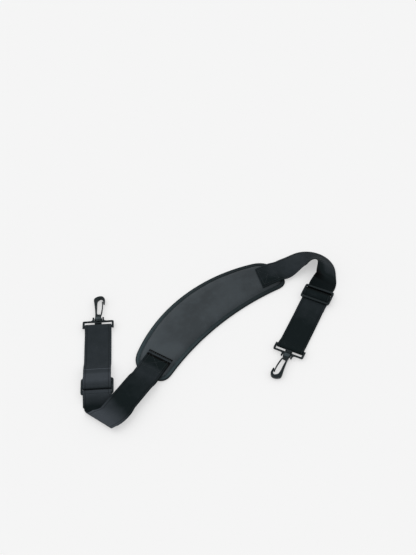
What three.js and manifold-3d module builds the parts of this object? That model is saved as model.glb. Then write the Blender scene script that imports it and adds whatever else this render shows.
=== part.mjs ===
// A padded shoulder strap laid out on a flat surface: a curved foam pad with a bound edge, and at each of
// its ends a length of webbing that runs through a three-bar slider to a swivel snap hook and back.
// Millimetres. The origin is on the surface, under the middle of the pad. +X runs along the pad, +Y points
// to its longer, outer edge, and +Z is up.

import * as THREE from "three";
import { mergeVertices } from "three/addons/utils/BufferGeometryUtils.js";
import Module from "manifold-3d";

const wasm = await Module();
wasm.setup();

// Webbing
const WEBBING_WIDTH = 38;
const WEBBING_THICKNESS = 1.2;
const LAYER_GAP = 0.3;
const CUT_GAP = 0.3;
const SURFACE_GAP = 0.1;

// Pad
const PAD_WIDTH = 76.6;
const PAD_HALF_LENGTH = 138.3;
const PAD_END_SLANT = 8.7;
const PAD_OUTER_RISE = 40.9;
const PAD_INNER_RISE = 20.1;
const PAD_OUTER_CORNER_SHARE = 0.345;
const PAD_INNER_CORNER_SHARE = 0.385;
const PAD_THICKNESS = 7;
const PAD_CROWN_SHARE = 0.25;
const BACKING_THICKNESS = 1.6;
const BACKING_FLANGE_THICKNESS = 0.5;
const COVER_THICKNESS = 0.7;
const BINDING_WIDTH = 6.2;
const BINDING_THICKNESS = 0.8;
const BINDING_HEIGHT = 3.4;
const BINDING_EDGE_ROUND = 0.6;

// Webbing where it is sewn on the pad, and its two routes over the surface
const SEWN_OVERLAP = 35;
const SEWN_ANGLE = 15;
const SEWN_FALL_RUN = 19;
const LEFT_EASE = { length: 12, turn: -2.3 };
const LEFT_SPAN = 48.9;
const LEFT_CURVE = { length: 12.7, turn: -31.8 };
const LEFT_FOLD = { crease: 100.5, radius: 5, exit: 49.3 };
const RIGHT_EASE = { length: 29.6, turn: 3.2, height: 2.5, lean: 17.4 };
const RIGHT_BEND = { length: 48.2, turn: -120.2, height: 3.5, lean: 40.4 };
const RIGHT_SETTLE = { length: 17, turn: -5, lean: 33.4 };
const RIGHT_STRAIGHTEN = { length: 9.3, turn: -23.1, lean: 21.6 };

// Three-bar slider
const BUCKLE_CLEARANCE = 0.45;
const SIDE_BAR_WIDTH = 3;
const SLIDER_LENGTH = 26;
const SLIDER_BAR_WIDTH = 3.8;
const SLIDER_CENTRE_BAR_WIDTH = 5;
const BAR_THICKNESS = 3;
const CREST_SHARE = 0.9;
const SLIDER_CORNER = 3.6;
const SLIDER_ROUND = 0.9;
const EDGE_ROUND = 0.7;

// Webbing at the slider and at the hook frame
const LEFT_RAMP_RUN = 16.5;
const RIGHT_RAMP_RUN = 11;
const LEG_RAMP_RUN = 17;
const TAIL_LENGTH = 12;
const LOOP_SQUARENESS = 0.7;
const END_LOOP_RUN = 15;
const END_LOOP_CLEARANCE = 0.5;
const LEFT_LEG = 103;
const RIGHT_LEG = 108;

// Hook frame, measured along the strap from the axis of its webbing bar
const FRAME_BAR_WIDTH = 3;
const FRAME_EAR_REACH = 2.5;
const FRAME_TOP_BAR_WIDTH = 2.1;
const FRAME_WINDOW_LENGTH = 6.2;
const FRAME_CORNER = 2.4;
const COLLAR_RADIUS = 3.9;
const COLLAR_LENGTH = 3.2;
const PRONG_WIDTH = 2.3;
const PRONG_LENGTH = 6.2;
const BOSS_FLARE = 3.4;

// Snap hook, measured from its shoulder, which turns on the frame's collar
const SWIVEL_CLEARANCE = 0.35;
const STEM_RADIUS = 1.9;
const HEAD_WIDTH = 10;
const HEAD_LENGTH = 2.9;
const HOOK_THICKNESS = 5;
const HOOK_ROUND = 0.8;
const HOOK_REACH = 44.4;
const HOOK_WIDTH = 16.3;
const SHOULDER_WIDTH = 10;
const NOSE_TIP_RADIUS = 1.1;
const GATE_THICKNESS = 1.5;
const GATE_DEPTH = 3.4;
const GATE_GAP = 0.35;

// Smoothness
const PAD_CURVE_STEPS = 8;
const HOOK_CURVE_STEPS = 3;
const CORNER_STEPS = 3;
const ROUND_STEPS = 24;
const LOOP_STEPS = 12;
const CUT_OVERRUN = 1;

const UP = new THREE.Vector3(0, 0, 1);
const LAYER = WEBBING_THICKNESS + LAYER_GAP;
const LOWER_REST = SURFACE_GAP + WEBBING_THICKNESS / 2;
const UPPER_REST = LOWER_REST + LAYER;

// Heights of the webbing's layers at the slider, from the middle of its bars to its front face
const BENEATH_BARS = -(BAR_THICKNESS + WEBBING_THICKNESS) / 2 - LAYER_GAP;
const BENEATH_RETURN = BENEATH_BARS - LAYER;
const BENEATH_TAIL = BENEATH_RETURN - LAYER;
const LOOP_OVER_BAR = (BAR_THICKNESS + WEBBING_THICKNESS) / 2 + LAYER_GAP;
const CREST = LOOP_OVER_BAR + LAYER;

const smooth = (share) => share * share * (3 - 2 * share);
const radians = THREE.MathUtils.degToRad;
const headed = (angle) => new THREE.Vector3(Math.cos(angle), Math.sin(angle), 0);
const leftOf = (angle) => headed(angle + Math.PI / 2);

function finish(color, roughness, metalness = 0) {
  return new THREE.MeshStandardMaterial({ color, roughness, metalness });
}

const padCloth = finish(0x41474a, 0.85);
const foam = finish(0x2b2e30, 0.95);
const backingCloth = finish(0x25292b, 0.9);
const bindingTape = finish(0x1e2426, 0.8);
const webbing = finish(0x20272a, 0.75);
const plastic = finish(0x14191b, 0.4);

// Solids

function signedVolume(points, faces) {
  let six = 0;
  for (const [a, b, c] of faces) {
    six += points[a].dot(new THREE.Vector3().crossVectors(points[b], points[c]));
  }
  return six / 6;
}

function solidGeometry(points, faces) {
  const outward = signedVolume(points, faces) > 0;
  const turned = outward ? faces : faces.map(([a, b, c]) => [a, c, b]);
  const geometry = new THREE.BufferGeometry().setFromPoints(points);
  geometry.setIndex(turned.flat());
  geometry.computeVertexNormals();
  return geometry;
}

// The triangles that close a loop, turning the same way as the loop does.
function loopFaces(loop) {
  const outline = loop.map((point) => new THREE.Vector2(point.x, point.y));
  const turning = Math.sign(THREE.ShapeUtils.area(outline));
  const sameWay = (face) =>
    Math.sign(THREE.ShapeUtils.area(face.map((i) => outline[i]))) === turning;
  return THREE.ShapeUtils.triangulateShape(outline, []).map((face) =>
    sameWay(face) ? face : [face[0], face[2], face[1]],
  );
}

// A solid skinned over sections, each a closed loop of the same number of points. A ringed one joins its
// last section to its first, and any other is closed by the faces of one end section.
function skinned(sections, endFaces) {
  const count = sections[0].length;
  const faces = [];
  const joins = endFaces ? sections.length - 1 : sections.length;
  for (let i = 0; i < joins; i += 1) {
    const near = i * count;
    const far = ((i + 1) % sections.length) * count;
    for (let j = 0; j < count; j += 1) {
      const next = (j + 1) % count;
      faces.push([near + j, far + j, far + next], [near + j, far + next, near + next]);
    }
  }
  const last = (sections.length - 1) * count;
  for (const [a, b, c] of endFaces ?? []) {
    faces.push([a, b, c], [last + a, last + c, last + b]);
  }
  return solidGeometry(sections.flat(), faces);
}

function toSolid(geometry) {
  const bare = geometry.clone();
  bare.deleteAttribute("normal");
  bare.deleteAttribute("uv");
  const merged = mergeVertices(bare);
  return new wasm.Manifold(
    new wasm.Mesh({
      numProp: 3,
      vertProperties: merged.attributes.position.array,
      triVerts: new Uint32Array(merged.index.array),
    }),
  );
}

function fromSolid(solid) {
  const mesh = solid.getMesh();
  const geometry = new THREE.BufferGeometry();
  geometry.setAttribute("position", new THREE.BufferAttribute(mesh.vertProperties, 3));
  geometry.setIndex(new THREE.BufferAttribute(mesh.triVerts, 1));
  geometry.computeVertexNormals();
  return geometry;
}

function joined(...geometries) {
  const solids = geometries.map(toSolid);
  return fromSolid(solids.reduce((whole, piece) => whole.add(piece)));
}

function cut(geometry, ...tools) {
  const solids = tools.map(toSolid);
  return fromSolid(solids.reduce((whole, tool) => whole.subtract(tool), toSolid(geometry)));
}

// A flat moulding with rounded edges, centred on its thickness.
function moulding(shape, thickness, round, curveSegments) {
  const geometry = new THREE.ExtrudeGeometry(shape, {
    depth: thickness - 2 * round,
    bevelThickness: round,
    bevelSize: round,
    bevelOffset: -round,
    bevelSegments: 2,
    curveSegments,
  });
  return geometry.translate(0, 0, round - thickness / 2);
}

function roundedRectangle(path, left, right, halfWidth, corner) {
  path.moveTo(left + corner, -halfWidth);
  path.lineTo(right - corner, -halfWidth);
  path.quadraticCurveTo(right, -halfWidth, right, -halfWidth + corner);
  path.lineTo(right, halfWidth - corner);
  path.quadraticCurveTo(right, halfWidth, right - corner, halfWidth);
  path.lineTo(left + corner, halfWidth);
  path.quadraticCurveTo(left, halfWidth, left, halfWidth - corner);
  path.lineTo(left, -halfWidth + corner);
  path.quadraticCurveTo(left, -halfWidth, left + corner, -halfWidth);
  return path;
}

// A round bar or bore along X.
function barAlongX(radius, from, to) {
  const bar = new THREE.CylinderGeometry(radius, radius, to - from, ROUND_STEPS);
  return bar.rotateZ(-Math.PI / 2).translate((from + to) / 2, 0, 0);
}

// Pad

// An arc that rises by its rise over its half length.
const arcRadius = (half, rise) => (half ** 2 + rise ** 2) / (2 * rise);

const outerCorner = new THREE.Vector2(PAD_HALF_LENGTH, PAD_WIDTH / 2 - PAD_OUTER_RISE);
const innerCorner = new THREE.Vector2(PAD_HALF_LENGTH - PAD_END_SLANT, -PAD_WIDTH / 2 - PAD_INNER_RISE);
const outerRadius = arcRadius(outerCorner.x, PAD_OUTER_RISE);
const innerRadius = arcRadius(innerCorner.x, PAD_INNER_RISE);
const outerCentreY = PAD_WIDTH / 2 - outerRadius;
const innerCentreY = -PAD_WIDTH / 2 - innerRadius;
const endMiddle = outerCorner.clone().lerp(innerCorner, 1 / 2);
const outerReach = outerCorner.distanceTo(innerCorner) * PAD_OUTER_CORNER_SHARE;
const innerReach = outerCorner.distanceTo(innerCorner) * PAD_INNER_CORNER_SHARE;
const crownRun = Math.min(outerReach, innerReach) * PAD_CROWN_SHARE;

// The pad's outline: two long arcs and two slanting ends, with all four corners rounded.
function padOutline() {
  const outer = outerCorner;
  const inner = innerCorner;
  const outerLow = outer.clone().lerp(inner, PAD_OUTER_CORNER_SHARE);
  const innerHigh = inner.clone().lerp(outer, PAD_INNER_CORNER_SHARE);
  const outerAngle = Math.asin((outer.x - outerReach) / outerRadius);
  const innerAngle = Math.asin((inner.x - innerReach) / innerRadius);
  const outerY = outerCentreY + outerRadius * Math.cos(outerAngle);
  const innerY = innerCentreY + innerRadius * Math.cos(innerAngle);
  const upright = Math.PI / 2;
  const shape = new THREE.Shape();
  shape.absarc(0, outerCentreY, outerRadius, upright - outerAngle, upright + outerAngle);
  shape.quadraticCurveTo(-outer.x, outer.y, -outerLow.x, outerLow.y);
  shape.lineTo(-innerHigh.x, innerHigh.y);
  shape.quadraticCurveTo(-inner.x, inner.y, innerReach - inner.x, innerY);
  shape.absarc(0, innerCentreY, innerRadius, upright + innerAngle, upright - innerAngle, true);
  shape.quadraticCurveTo(inner.x, inner.y, innerHigh.x, innerHigh.y);
  shape.lineTo(outerLow.x, outerLow.y);
  shape.quadraticCurveTo(outer.x, outer.y, outer.x - outerReach, outerY);
  const points = shape.getPoints(PAD_CURVE_STEPS);
  return points.filter((point, i) => point.distanceTo(points.at(i - 1)) > LAYER_GAP);
}

const padEdge = padOutline();

// The pad's outline drawn in by an inset, at a height.
function padRing(inset, height) {
  const count = padEdge.length;
  return padEdge.map((point, i) => {
    const before = padEdge[(i + count - 1) % count];
    const after = padEdge[(i + 1) % count];
    const arriving = point.clone().sub(before).normalize();
    const leaving = after.clone().sub(point).normalize();
    const along = arriving.clone().add(leaving).normalize();
    const mitre = inset / along.dot(leaving);
    return new THREE.Vector3(point.x - along.y * mitre, point.y + along.x * mitre, height);
  });
}

const bindingInside = BINDING_HEIGHT - BINDING_THICKNESS;
const flangeBottom = BACKING_THICKNESS - BACKING_FLANGE_THICKNESS;
const flangeEdge = BINDING_THICKNESS + LAYER_GAP;
const clearOfBinding = BINDING_WIDTH + LAYER_GAP;
const coverFlangeTop = bindingInside - LAYER_GAP / 2;
const coverFlangeBottom = BACKING_THICKNESS + LAYER_GAP / 2;

// The crown rises from the binding to the pad's full thickness. Each share is of the rise or of the run.
const crownRunShares = [0, 0.25, 0.6, 1];
const crownRiseShares = [0, 0.42, 0.84, 1];

function crownRings(edgeHeight, topHeight, extraInset) {
  return crownRunShares.map((share, i) => {
    const height = edgeHeight + (topHeight - edgeHeight) * crownRiseShares[i];
    return padRing(clearOfBinding + crownRun * share + extraInset, height);
  });
}

function padBacking() {
  const rings = [
    padRing(clearOfBinding, 0),
    padRing(clearOfBinding, flangeBottom),
    padRing(flangeEdge, flangeBottom),
    padRing(flangeEdge, BACKING_THICKNESS),
  ];
  return skinned(rings, loopFaces(rings[0]));
}

function padBinding() {
  const inner = BINDING_THICKNESS;
  const edge = BINDING_EDGE_ROUND;
  return skinned([
    padRing(BINDING_WIDTH, 0),
    padRing(edge, 0),
    padRing(0, edge),
    padRing(0, BINDING_HEIGHT - edge),
    padRing(edge, BINDING_HEIGHT),
    padRing(BINDING_WIDTH, BINDING_HEIGHT),
    padRing(BINDING_WIDTH, bindingInside),
    padRing(inner, bindingInside),
    padRing(inner, inner),
    padRing(BINDING_WIDTH, inner),
  ]);
}

// The cover is a shell, open underneath, with its own flange held in the binding.
function padCover() {
  const outside = crownRings(coverFlangeTop, PAD_THICKNESS, 0).reverse();
  const underside = PAD_THICKNESS - COVER_THICKNESS;
  const inside = crownRings(coverFlangeBottom, underside, COVER_THICKNESS);
  const rings = [
    ...outside,
    padRing(flangeEdge, coverFlangeTop),
    padRing(flangeEdge, coverFlangeBottom),
    ...inside,
  ];
  return skinned(rings, loopFaces(rings[0]));
}

function padFoam() {
  const top = PAD_THICKNESS - COVER_THICKNESS - LAYER_GAP;
  const base = BACKING_THICKNESS + LAYER_GAP;
  const rings = crownRings(base, top, 2 * COVER_THICKNESS);
  return skinned(rings, loopFaces(rings[0]));
}

// Webbing

// The webbing as a solid over its rulings. A ruling is a straight line across the webbing, given by its
// middle, the direction to the left edge, half its length, and the direction that the front face looks in.
function ribbon(rulings) {
  const sections = rulings.map(({ middle, across, half, front }) => {
    const side = across.clone().multiplyScalar(half);
    const depth = front.clone().multiplyScalar(WEBBING_THICKNESS / 2);
    return [
      middle.clone().add(side).add(depth),
      middle.clone().add(side).sub(depth),
      middle.clone().sub(side).sub(depth),
      middle.clone().sub(side).add(depth),
    ];
  });
  const ends = [
    [0, 1, 2],
    [0, 2, 3],
  ];
  return skinned(sections, ends);
}

// Lays webbing on the surface as a walk from the pad outwards, one stretch after another. Its place is
// where the webbing's middle would be if it lay flat. A lean lifts the right edge and leaves the left one.
class WebbingWalk {
  constructor(x, y, height, degrees) {
    this.place = new THREE.Vector3(x, y, height);
    this.heading = radians(degrees);
    this.lean = 0;
    this.face = 1;
    this.rulings = [];
    this.lay();
  }

  lay() {
    const half = WEBBING_WIDTH / 2;
    const left = leftOf(this.heading);
    const sine = Math.sin(radians(this.lean));
    const cosine = Math.cos(radians(this.lean));
    const across = left.clone().multiplyScalar(cosine).addScaledVector(UP, -sine);
    const front = left.clone().multiplyScalar(sine).addScaledVector(UP, cosine);
    const middle = this.place.clone().addScaledVector(left, half).addScaledVector(across, -half);
    this.rulings.push({
      middle,
      across: across.multiplyScalar(this.face),
      half,
      front: front.multiplyScalar(this.face),
    });
  }

  // A stretch that can curve sideways and change its height and lean on the way.
  go(length, { turn = 0, height = this.place.z, lean = this.lean, steps = 1 } = {}) {
    const fromHeight = this.place.z;
    const fromLean = this.lean;
    const halfTurn = radians(turn) / steps / 2;
    for (let i = 1; i <= steps; i += 1) {
      const share = smooth(i / steps);
      this.heading += halfTurn;
      this.place.addScaledVector(headed(this.heading), length / steps);
      this.heading += halfTurn;
      this.place.z = fromHeight + (height - fromHeight) * share;
      this.lean = fromLean + (lean - fromLean) * share;
      this.lay();
    }
  }

  // Ends a solid and leaves a gap before the next one.
  finishSolid() {
    const laid = this.rulings;
    this.rulings = [];
    this.go(CUT_GAP);
    return laid;
  }

  // A soft fold down and under about a slanting crease, which turns the front face to the surface.
  fold({ crease, radius, exit }, steps) {
    const creaseLine = headed(radians(crease));
    const across = creaseLine.clone();
    if (across.dot(leftOf(this.heading)) < 0) across.negate();
    const onward = new THREE.Vector3().crossVectors(across, UP);
    const exitHeading = radians(exit);
    const skew = (heading) => headed(heading).dot(across) / Math.abs(headed(heading).dot(onward));
    const entrySkew = skew(this.heading);
    const exitSkew = skew(exitHeading);
    const half = WEBBING_WIDTH / 2;
    const halfAt = (slant) => half * Math.hypot(1, slant);
    this.place.addScaledVector(headed(this.heading), half * Math.abs(entrySkew) + CUT_GAP);
    const start = this.place.clone();
    let drift = 0;
    for (let i = 0; i <= steps; i += 1) {
      const share = i / steps;
      const roll = Math.PI * share;
      const slant = entrySkew + (exitSkew - entrySkew) * share;
      drift += i > 0 ? (radius * Math.PI * slant) / steps : 0;
      this.place = start.clone().addScaledVector(onward, radius * Math.sin(roll));
      this.place.addScaledVector(across, drift).addScaledVector(UP, radius * (Math.cos(roll) - 1));
      const front = UP.clone().multiplyScalar(Math.cos(roll)).addScaledVector(onward, Math.sin(roll));
      this.rulings.push({ middle: this.place.clone(), across, half: halfAt(slant), front });
    }
    this.face = -this.face;
    this.heading = exitHeading;
    this.place.addScaledVector(headed(exitHeading), half * Math.abs(exitSkew) + CUT_GAP);
    this.lay();
  }
}

const sewnHeight = PAD_THICKNESS + LAYER_GAP + WEBBING_THICKNESS / 2;
const overBinding = BINDING_HEIGHT + LAYER_GAP + WEBBING_THICKNESS / 2;
const sewnFlatRun = SEWN_OVERLAP - clearOfBinding - crownRun;
const sewnStart = endMiddle.clone().addScaledVector(headed(radians(-SEWN_ANGLE)), -SEWN_OVERLAP);

function leftRoute() {
  const walk = new WebbingWalk(-sewnStart.x, sewnStart.y, sewnHeight, 180 + SEWN_ANGLE);
  const foldTop = LOWER_REST + 2 * LEFT_FOLD.radius;
  walk.go(sewnFlatRun);
  walk.go(SEWN_FALL_RUN, { height: (overBinding + foldTop) / 2, steps: 6 });
  walk.go(LEFT_EASE.length, { turn: LEFT_EASE.turn, height: foldTop, steps: 4 });
  walk.go(LEFT_SPAN);
  walk.go(LEFT_CURVE.length, { turn: LEFT_CURVE.turn, steps: 5 });
  walk.fold(LEFT_FOLD, 12);
  return walk;
}

function rightRoute() {
  const walk = new WebbingWalk(sewnStart.x, sewnStart.y, sewnHeight, -SEWN_ANGLE);
  walk.go(sewnFlatRun);
  walk.go(SEWN_FALL_RUN, { height: overBinding, steps: 6 });
  walk.go(RIGHT_EASE.length, { ...RIGHT_EASE, steps: 8 });
  walk.go(RIGHT_BEND.length, { ...RIGHT_BEND, steps: 16 });
  walk.go(RIGHT_SETTLE.length, { ...RIGHT_SETTLE, height: LOWER_REST, steps: 4 });
  walk.go(RIGHT_STRAIGHTEN.length, { ...RIGHT_STRAIGHTEN, steps: 4 });
  return walk;
}

// From here on the webbing runs straight. Its path is drawn from the side: x along the strap from the
// middle of the slider, y up from the surface.
function straightRibbon(points) {
  const path = points.filter((point, i) => i === 0 || point.distanceTo(points[i - 1]) > CUT_GAP / 2);
  const last = path.length - 1;
  return ribbon(
    path.map((point, i) => {
      const along = path[Math.min(i + 1, last)].clone().sub(path[Math.max(i - 1, 0)]).normalize();
      return {
        middle: new THREE.Vector3(point.x, 0, point.y),
        across: new THREE.Vector3(0, 1, 0),
        half: WEBBING_WIDTH / 2,
        front: new THREE.Vector3(-along.y, 0, along.x),
      };
    }),
  );
}

function ramp(from, to, steps = 8) {
  return Array.from({ length: steps + 1 }, (_, i) => {
    const share = i / steps;
    return new THREE.Vector2(from.x + (to.x - from.x) * share, from.y + (to.y - from.y) * smooth(share));
  });
}

const at = (x, y) => new THREE.Vector2(x, y);

const sliderEnd = SLIDER_LENGTH / 2;
const slotStart = SLIDER_CENTRE_BAR_WIDTH / 2;
const slotEnd = sliderEnd - SLIDER_BAR_WIDTH;
const crestHalf = slotStart * CREST_SHARE;
const tailEnd = sliderEnd + TAIL_LENGTH;
const legStart = tailEnd + LAYER;

// The layers' heights over the surface, for a strap that lies with its front face up (1) or down (-1).
function layerHeights(face) {
  const barHeight = LOWER_REST + (face > 0 ? -BENEATH_TAIL : CREST);
  const height = (offset) => barHeight + face * offset;
  return {
    bars: barHeight,
    main: height(BENEATH_BARS),
    back: height(BENEATH_RETURN),
    tail: height(BENEATH_TAIL),
    loop: height(LOOP_OVER_BAR),
    crest: height(CREST),
    height,
    mainRest: face > 0 ? UPPER_REST : LOWER_REST,
    backRest: face > 0 ? LOWER_REST : UPPER_REST,
  };
}

// Under the near outer bar, over the centre bar and under the far outer bar.
function overBar(levels) {
  const { main, crest } = levels;
  return straightRibbon([
    at(-sliderEnd, main),
    ...ramp(at(-slotEnd, main), at(-crestHalf, crest)),
    ...ramp(at(crestHalf, crest), at(slotEnd, main)),
    at(legStart, main),
  ]);
}

// The webbing's end comes back from the hook, goes over the centre bar inside the layer above it, and is
// sewn down on itself.
function sewnLoop(levels) {
  const { back, tail, loop, bars, height } = levels;
  const reach = slotStart + 2 * LAYER_GAP + WEBBING_THICKNESS / 2;
  const leave = at(slotEnd - LAYER_GAP, back);
  const inward = new THREE.CubicBezierCurve(
    leave,
    at((leave.x + reach) / 2, back),
    at(reach, height(-LAYER)),
    at(reach, bars),
  );
  const rise = loop - bars;
  const squarish = (value) => Math.sign(value) * Math.abs(value) ** LOOP_SQUARENESS;
  const round = Array.from({ length: LOOP_STEPS + 1 }, (_, i) => {
    const angle = (Math.PI * 3 * i) / (2 * LOOP_STEPS);
    return at(reach * squarish(Math.cos(angle)), bars + rise * squarish(Math.sin(angle)));
  });
  const outward = new THREE.CubicBezierCurve(
    at(0, bars - rise),
    at(reach / 2, bars - rise),
    at(slotStart + LAYER_GAP, tail),
    at(leave.x, tail),
  );
  return straightRibbon([
    at(legStart, back),
    ...inward.getPoints(8),
    ...round.slice(1, -1),
    ...outward.getPoints(8),
    at(tailEnd, tail),
  ]);
}

// Hook frame, along the strap from the axis of its webbing bar

const insideHalf = WEBBING_WIDTH / 2 + BUCKLE_CLEARANCE;
const outsideHalf = insideHalf + SIDE_BAR_WIDTH;
const windowStart = FRAME_BAR_WIDTH / 2;
const windowEnd = windowStart + FRAME_WINDOW_LENGTH;
const frameEnd = windowEnd + FRAME_TOP_BAR_WIDTH;
const collarStart = windowEnd - (COLLAR_LENGTH - FRAME_TOP_BAR_WIDTH) / 2;
const collarEnd = collarStart + COLLAR_LENGTH;
const shoulder = collarEnd + SWIVEL_CLEARANCE;
const prongInside = Math.hypot(SHOULDER_WIDTH, HOOK_THICKNESS) / 2 + SWIVEL_CLEARANCE;
const prongOutside = prongInside + PRONG_WIDTH;
const axisHeight = SURFACE_GAP + COLLAR_RADIUS;

function endLoop() {
  const radius = FRAME_BAR_WIDTH / 2 + END_LOOP_CLEARANCE + WEBBING_THICKNESS / 2;
  const round = Array.from({ length: LOOP_STEPS + 1 }, (_, i) => {
    const angle = Math.PI / 2 - (Math.PI * i) / LOOP_STEPS;
    return at(radius * Math.cos(angle), axisHeight + radius * Math.sin(angle));
  });
  return straightRibbon([
    ...ramp(at(-END_LOOP_RUN, UPPER_REST), round[0], 6),
    ...round.slice(1, -1),
    ...ramp(at(-END_LOOP_RUN, LOWER_REST), round.at(-1), 6).reverse(),
  ]);
}

function slider() {
  const shape = roundedRectangle(
    new THREE.Shape(), -sliderEnd, sliderEnd, outsideHalf, SLIDER_CORNER,
  );
  for (const side of [-1, 1]) {
    const near = Math.min(side * slotStart, side * slotEnd);
    const far = Math.max(side * slotStart, side * slotEnd);
    shape.holes.push(roundedRectangle(new THREE.Path(), near, far, insideHalf, SLIDER_ROUND));
  }
  return moulding(shape, BAR_THICKNESS, SLIDER_ROUND, CORNER_STEPS);
}

// The frame's plan: two ears past the webbing bar, a window, and a flared boss with two prongs that guard
// the hook's shoulder.
function framePlan() {
  const half = outsideHalf;
  const prongEnd = collarEnd + PRONG_LENGTH;
  const shape = new THREE.Shape();
  shape.moveTo(-windowStart, -insideHalf);
  shape.lineTo(-FRAME_EAR_REACH, -insideHalf);
  shape.lineTo(-FRAME_EAR_REACH, -half);
  shape.lineTo(frameEnd - FRAME_CORNER, -half);
  shape.quadraticCurveTo(frameEnd, -half, frameEnd, -half + FRAME_CORNER);
  shape.lineTo(frameEnd, -prongOutside - BOSS_FLARE);
  shape.quadraticCurveTo(frameEnd, -prongOutside, frameEnd + BOSS_FLARE, -prongOutside);
  shape.lineTo(prongEnd - EDGE_ROUND, -prongOutside);
  shape.lineTo(prongEnd, -(prongInside + prongOutside) / 2);
  shape.lineTo(prongEnd - EDGE_ROUND, -prongInside);
  shape.lineTo(collarEnd, -prongInside);
  shape.lineTo(collarEnd, prongInside);
  shape.lineTo(prongEnd - EDGE_ROUND, prongInside);
  shape.lineTo(prongEnd, (prongInside + prongOutside) / 2);
  shape.lineTo(prongEnd - EDGE_ROUND, prongOutside);
  shape.lineTo(frameEnd + BOSS_FLARE, prongOutside);
  shape.quadraticCurveTo(frameEnd, prongOutside, frameEnd, prongOutside + BOSS_FLARE);
  shape.lineTo(frameEnd, half - FRAME_CORNER);
  shape.quadraticCurveTo(frameEnd, half, frameEnd - FRAME_CORNER, half);
  shape.lineTo(-FRAME_EAR_REACH, half);
  shape.lineTo(-FRAME_EAR_REACH, insideHalf);
  shape.lineTo(-windowStart, insideHalf);
  shape.holes.push(roundedRectangle(new THREE.Path(), windowStart, windowEnd, insideHalf, EDGE_ROUND));
  return shape;
}

function hookFrame() {
  const plate = moulding(framePlan(), BAR_THICKNESS, EDGE_ROUND, CORNER_STEPS);
  const collar = barAlongX(COLLAR_RADIUS, collarStart, collarEnd);
  const bore = barAlongX(STEM_RADIUS + SWIVEL_CLEARANCE, collarStart - CUT_OVERRUN, collarEnd + CUT_OVERRUN);
  return cut(joined(plate, collar), bore);
}

// The hook's outline. Each point is a share of its reach and a share of its width, the left side being the
// solid spine and the right side the nose that the gate closes on.
const spineShares = [[0.22, 0.26], [0.5, 0.31], [0.7, 0.37], [0.88, 0.41]];
const crownShares = [[0.97, 0.16], [1, -0.14], [0.975, -0.4], [0.87, -0.575]];
const noseOuterShare = [0.705, -0.56];
const noseInnerShare = [0.705, -0.43];
const eyeTopShares = [[0.83, -0.405], [0.895, -0.3], [0.9, -0.15], [0.83, 0.05]];
const eyeSideShares = [[0.7, 0.11], [0.5, 0.115], [0.3, 0.12], [0.235, 0.06]];
const eyeFootShares = [[0.225, -0.03], [0.225, -0.12]];
const footCornerShare = [0.205, -0.245];

const hookPoint = ([along, across]) => at(along * HOOK_REACH, across * HOOK_WIDTH);

function hookPlan() {
  const half = SHOULDER_WIDTH / 2;
  const shape = new THREE.Shape();
  shape.moveTo(0, -half + EDGE_ROUND);
  shape.lineTo(0, half - EDGE_ROUND);
  shape.lineTo(EDGE_ROUND, half);
  shape.splineThru([...spineShares, ...crownShares, noseOuterShare].map(hookPoint));
  const tipOuter = hookPoint(noseOuterShare);
  const tipInner = hookPoint(noseInnerShare);
  const tip = at(tipOuter.x - NOSE_TIP_RADIUS, (tipOuter.y + tipInner.y) / 2);
  shape.quadraticCurveTo(tip.x, tipOuter.y, tip.x, tip.y);
  shape.quadraticCurveTo(tip.x, tipInner.y, tipInner.x, tipInner.y);
  shape.splineThru([...eyeTopShares, ...eyeSideShares, ...eyeFootShares].map(hookPoint));
  const foot = hookPoint(footCornerShare);
  shape.lineTo(foot.x, foot.y);
  shape.lineTo(EDGE_ROUND, -half);
  return shape;
}

function hook() {
  const body = moulding(hookPlan(), HOOK_THICKNESS, HOOK_ROUND, HOOK_CURVE_STEPS);
  body.translate(shoulder, 0, 0);
  const headEnd = collarStart - SWIVEL_CLEARANCE;
  const headStart = headEnd - HEAD_LENGTH;
  const headHalf = HEAD_WIDTH / 2;
  const headPlan = new THREE.Shape([
    at(headStart, -headHalf),
    at(headEnd, -headHalf),
    at(headEnd, headHalf),
    at(headStart, headHalf),
  ]);
  const head = moulding(headPlan, HOOK_THICKNESS, EDGE_ROUND, CORNER_STEPS);
  const stem = barAlongX(STEM_RADIUS, headEnd - EDGE_ROUND - CUT_OVERRUN, shoulder + HOOK_ROUND + CUT_OVERRUN);
  return joined(body, head, stem);
}

// The gate is a thin tongue that springs from the hook's foot and rests inside its nose.
const gateRootShare = [0.225, -0.245];
const gateBowShare = [0.5, -0.4];
const gateTipShare = [0.775, -0.35];

function gate() {
  const root = hookPoint(gateRootShare);
  const bow = hookPoint(gateBowShare);
  const tip = hookPoint(gateTipShare);
  const line = new THREE.QuadraticBezierCurve(root, bow, tip);
  const along = line.getPoints(8);
  const side = along.map((point, i) => {
    const tangent = line.getTangent(i / 8);
    return at(-tangent.y, tangent.x).multiplyScalar(GATE_THICKNESS / 2);
  });
  const plan = new THREE.Shape([
    ...along.map((point, i) => point.clone().add(side[i])),
    ...along.map((point, i) => point.clone().sub(side[i])).reverse(),
  ]);
  const tongue = moulding(plan, GATE_DEPTH, GATE_GAP, 1);
  return tongue.translate(shoulder, 0, 0);
}

// Assembly

const strap = new THREE.Group();
strap.name = "padded_shoulder_strap";

function add(group, name, geometry, material, height = 0) {
  const mesh = new THREE.Mesh(geometry, material);
  mesh.name = name;
  mesh.position.z = height;
  group.add(mesh);
  return mesh;
}

add(strap, "pad_backing", padBacking(), backingCloth);
add(strap, "pad_foam_core", padFoam(), foam);
add(strap, "pad_top_cover", padCover(), padCloth);
add(strap, "pad_edge_binding", padBinding(), bindingTape);

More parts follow.
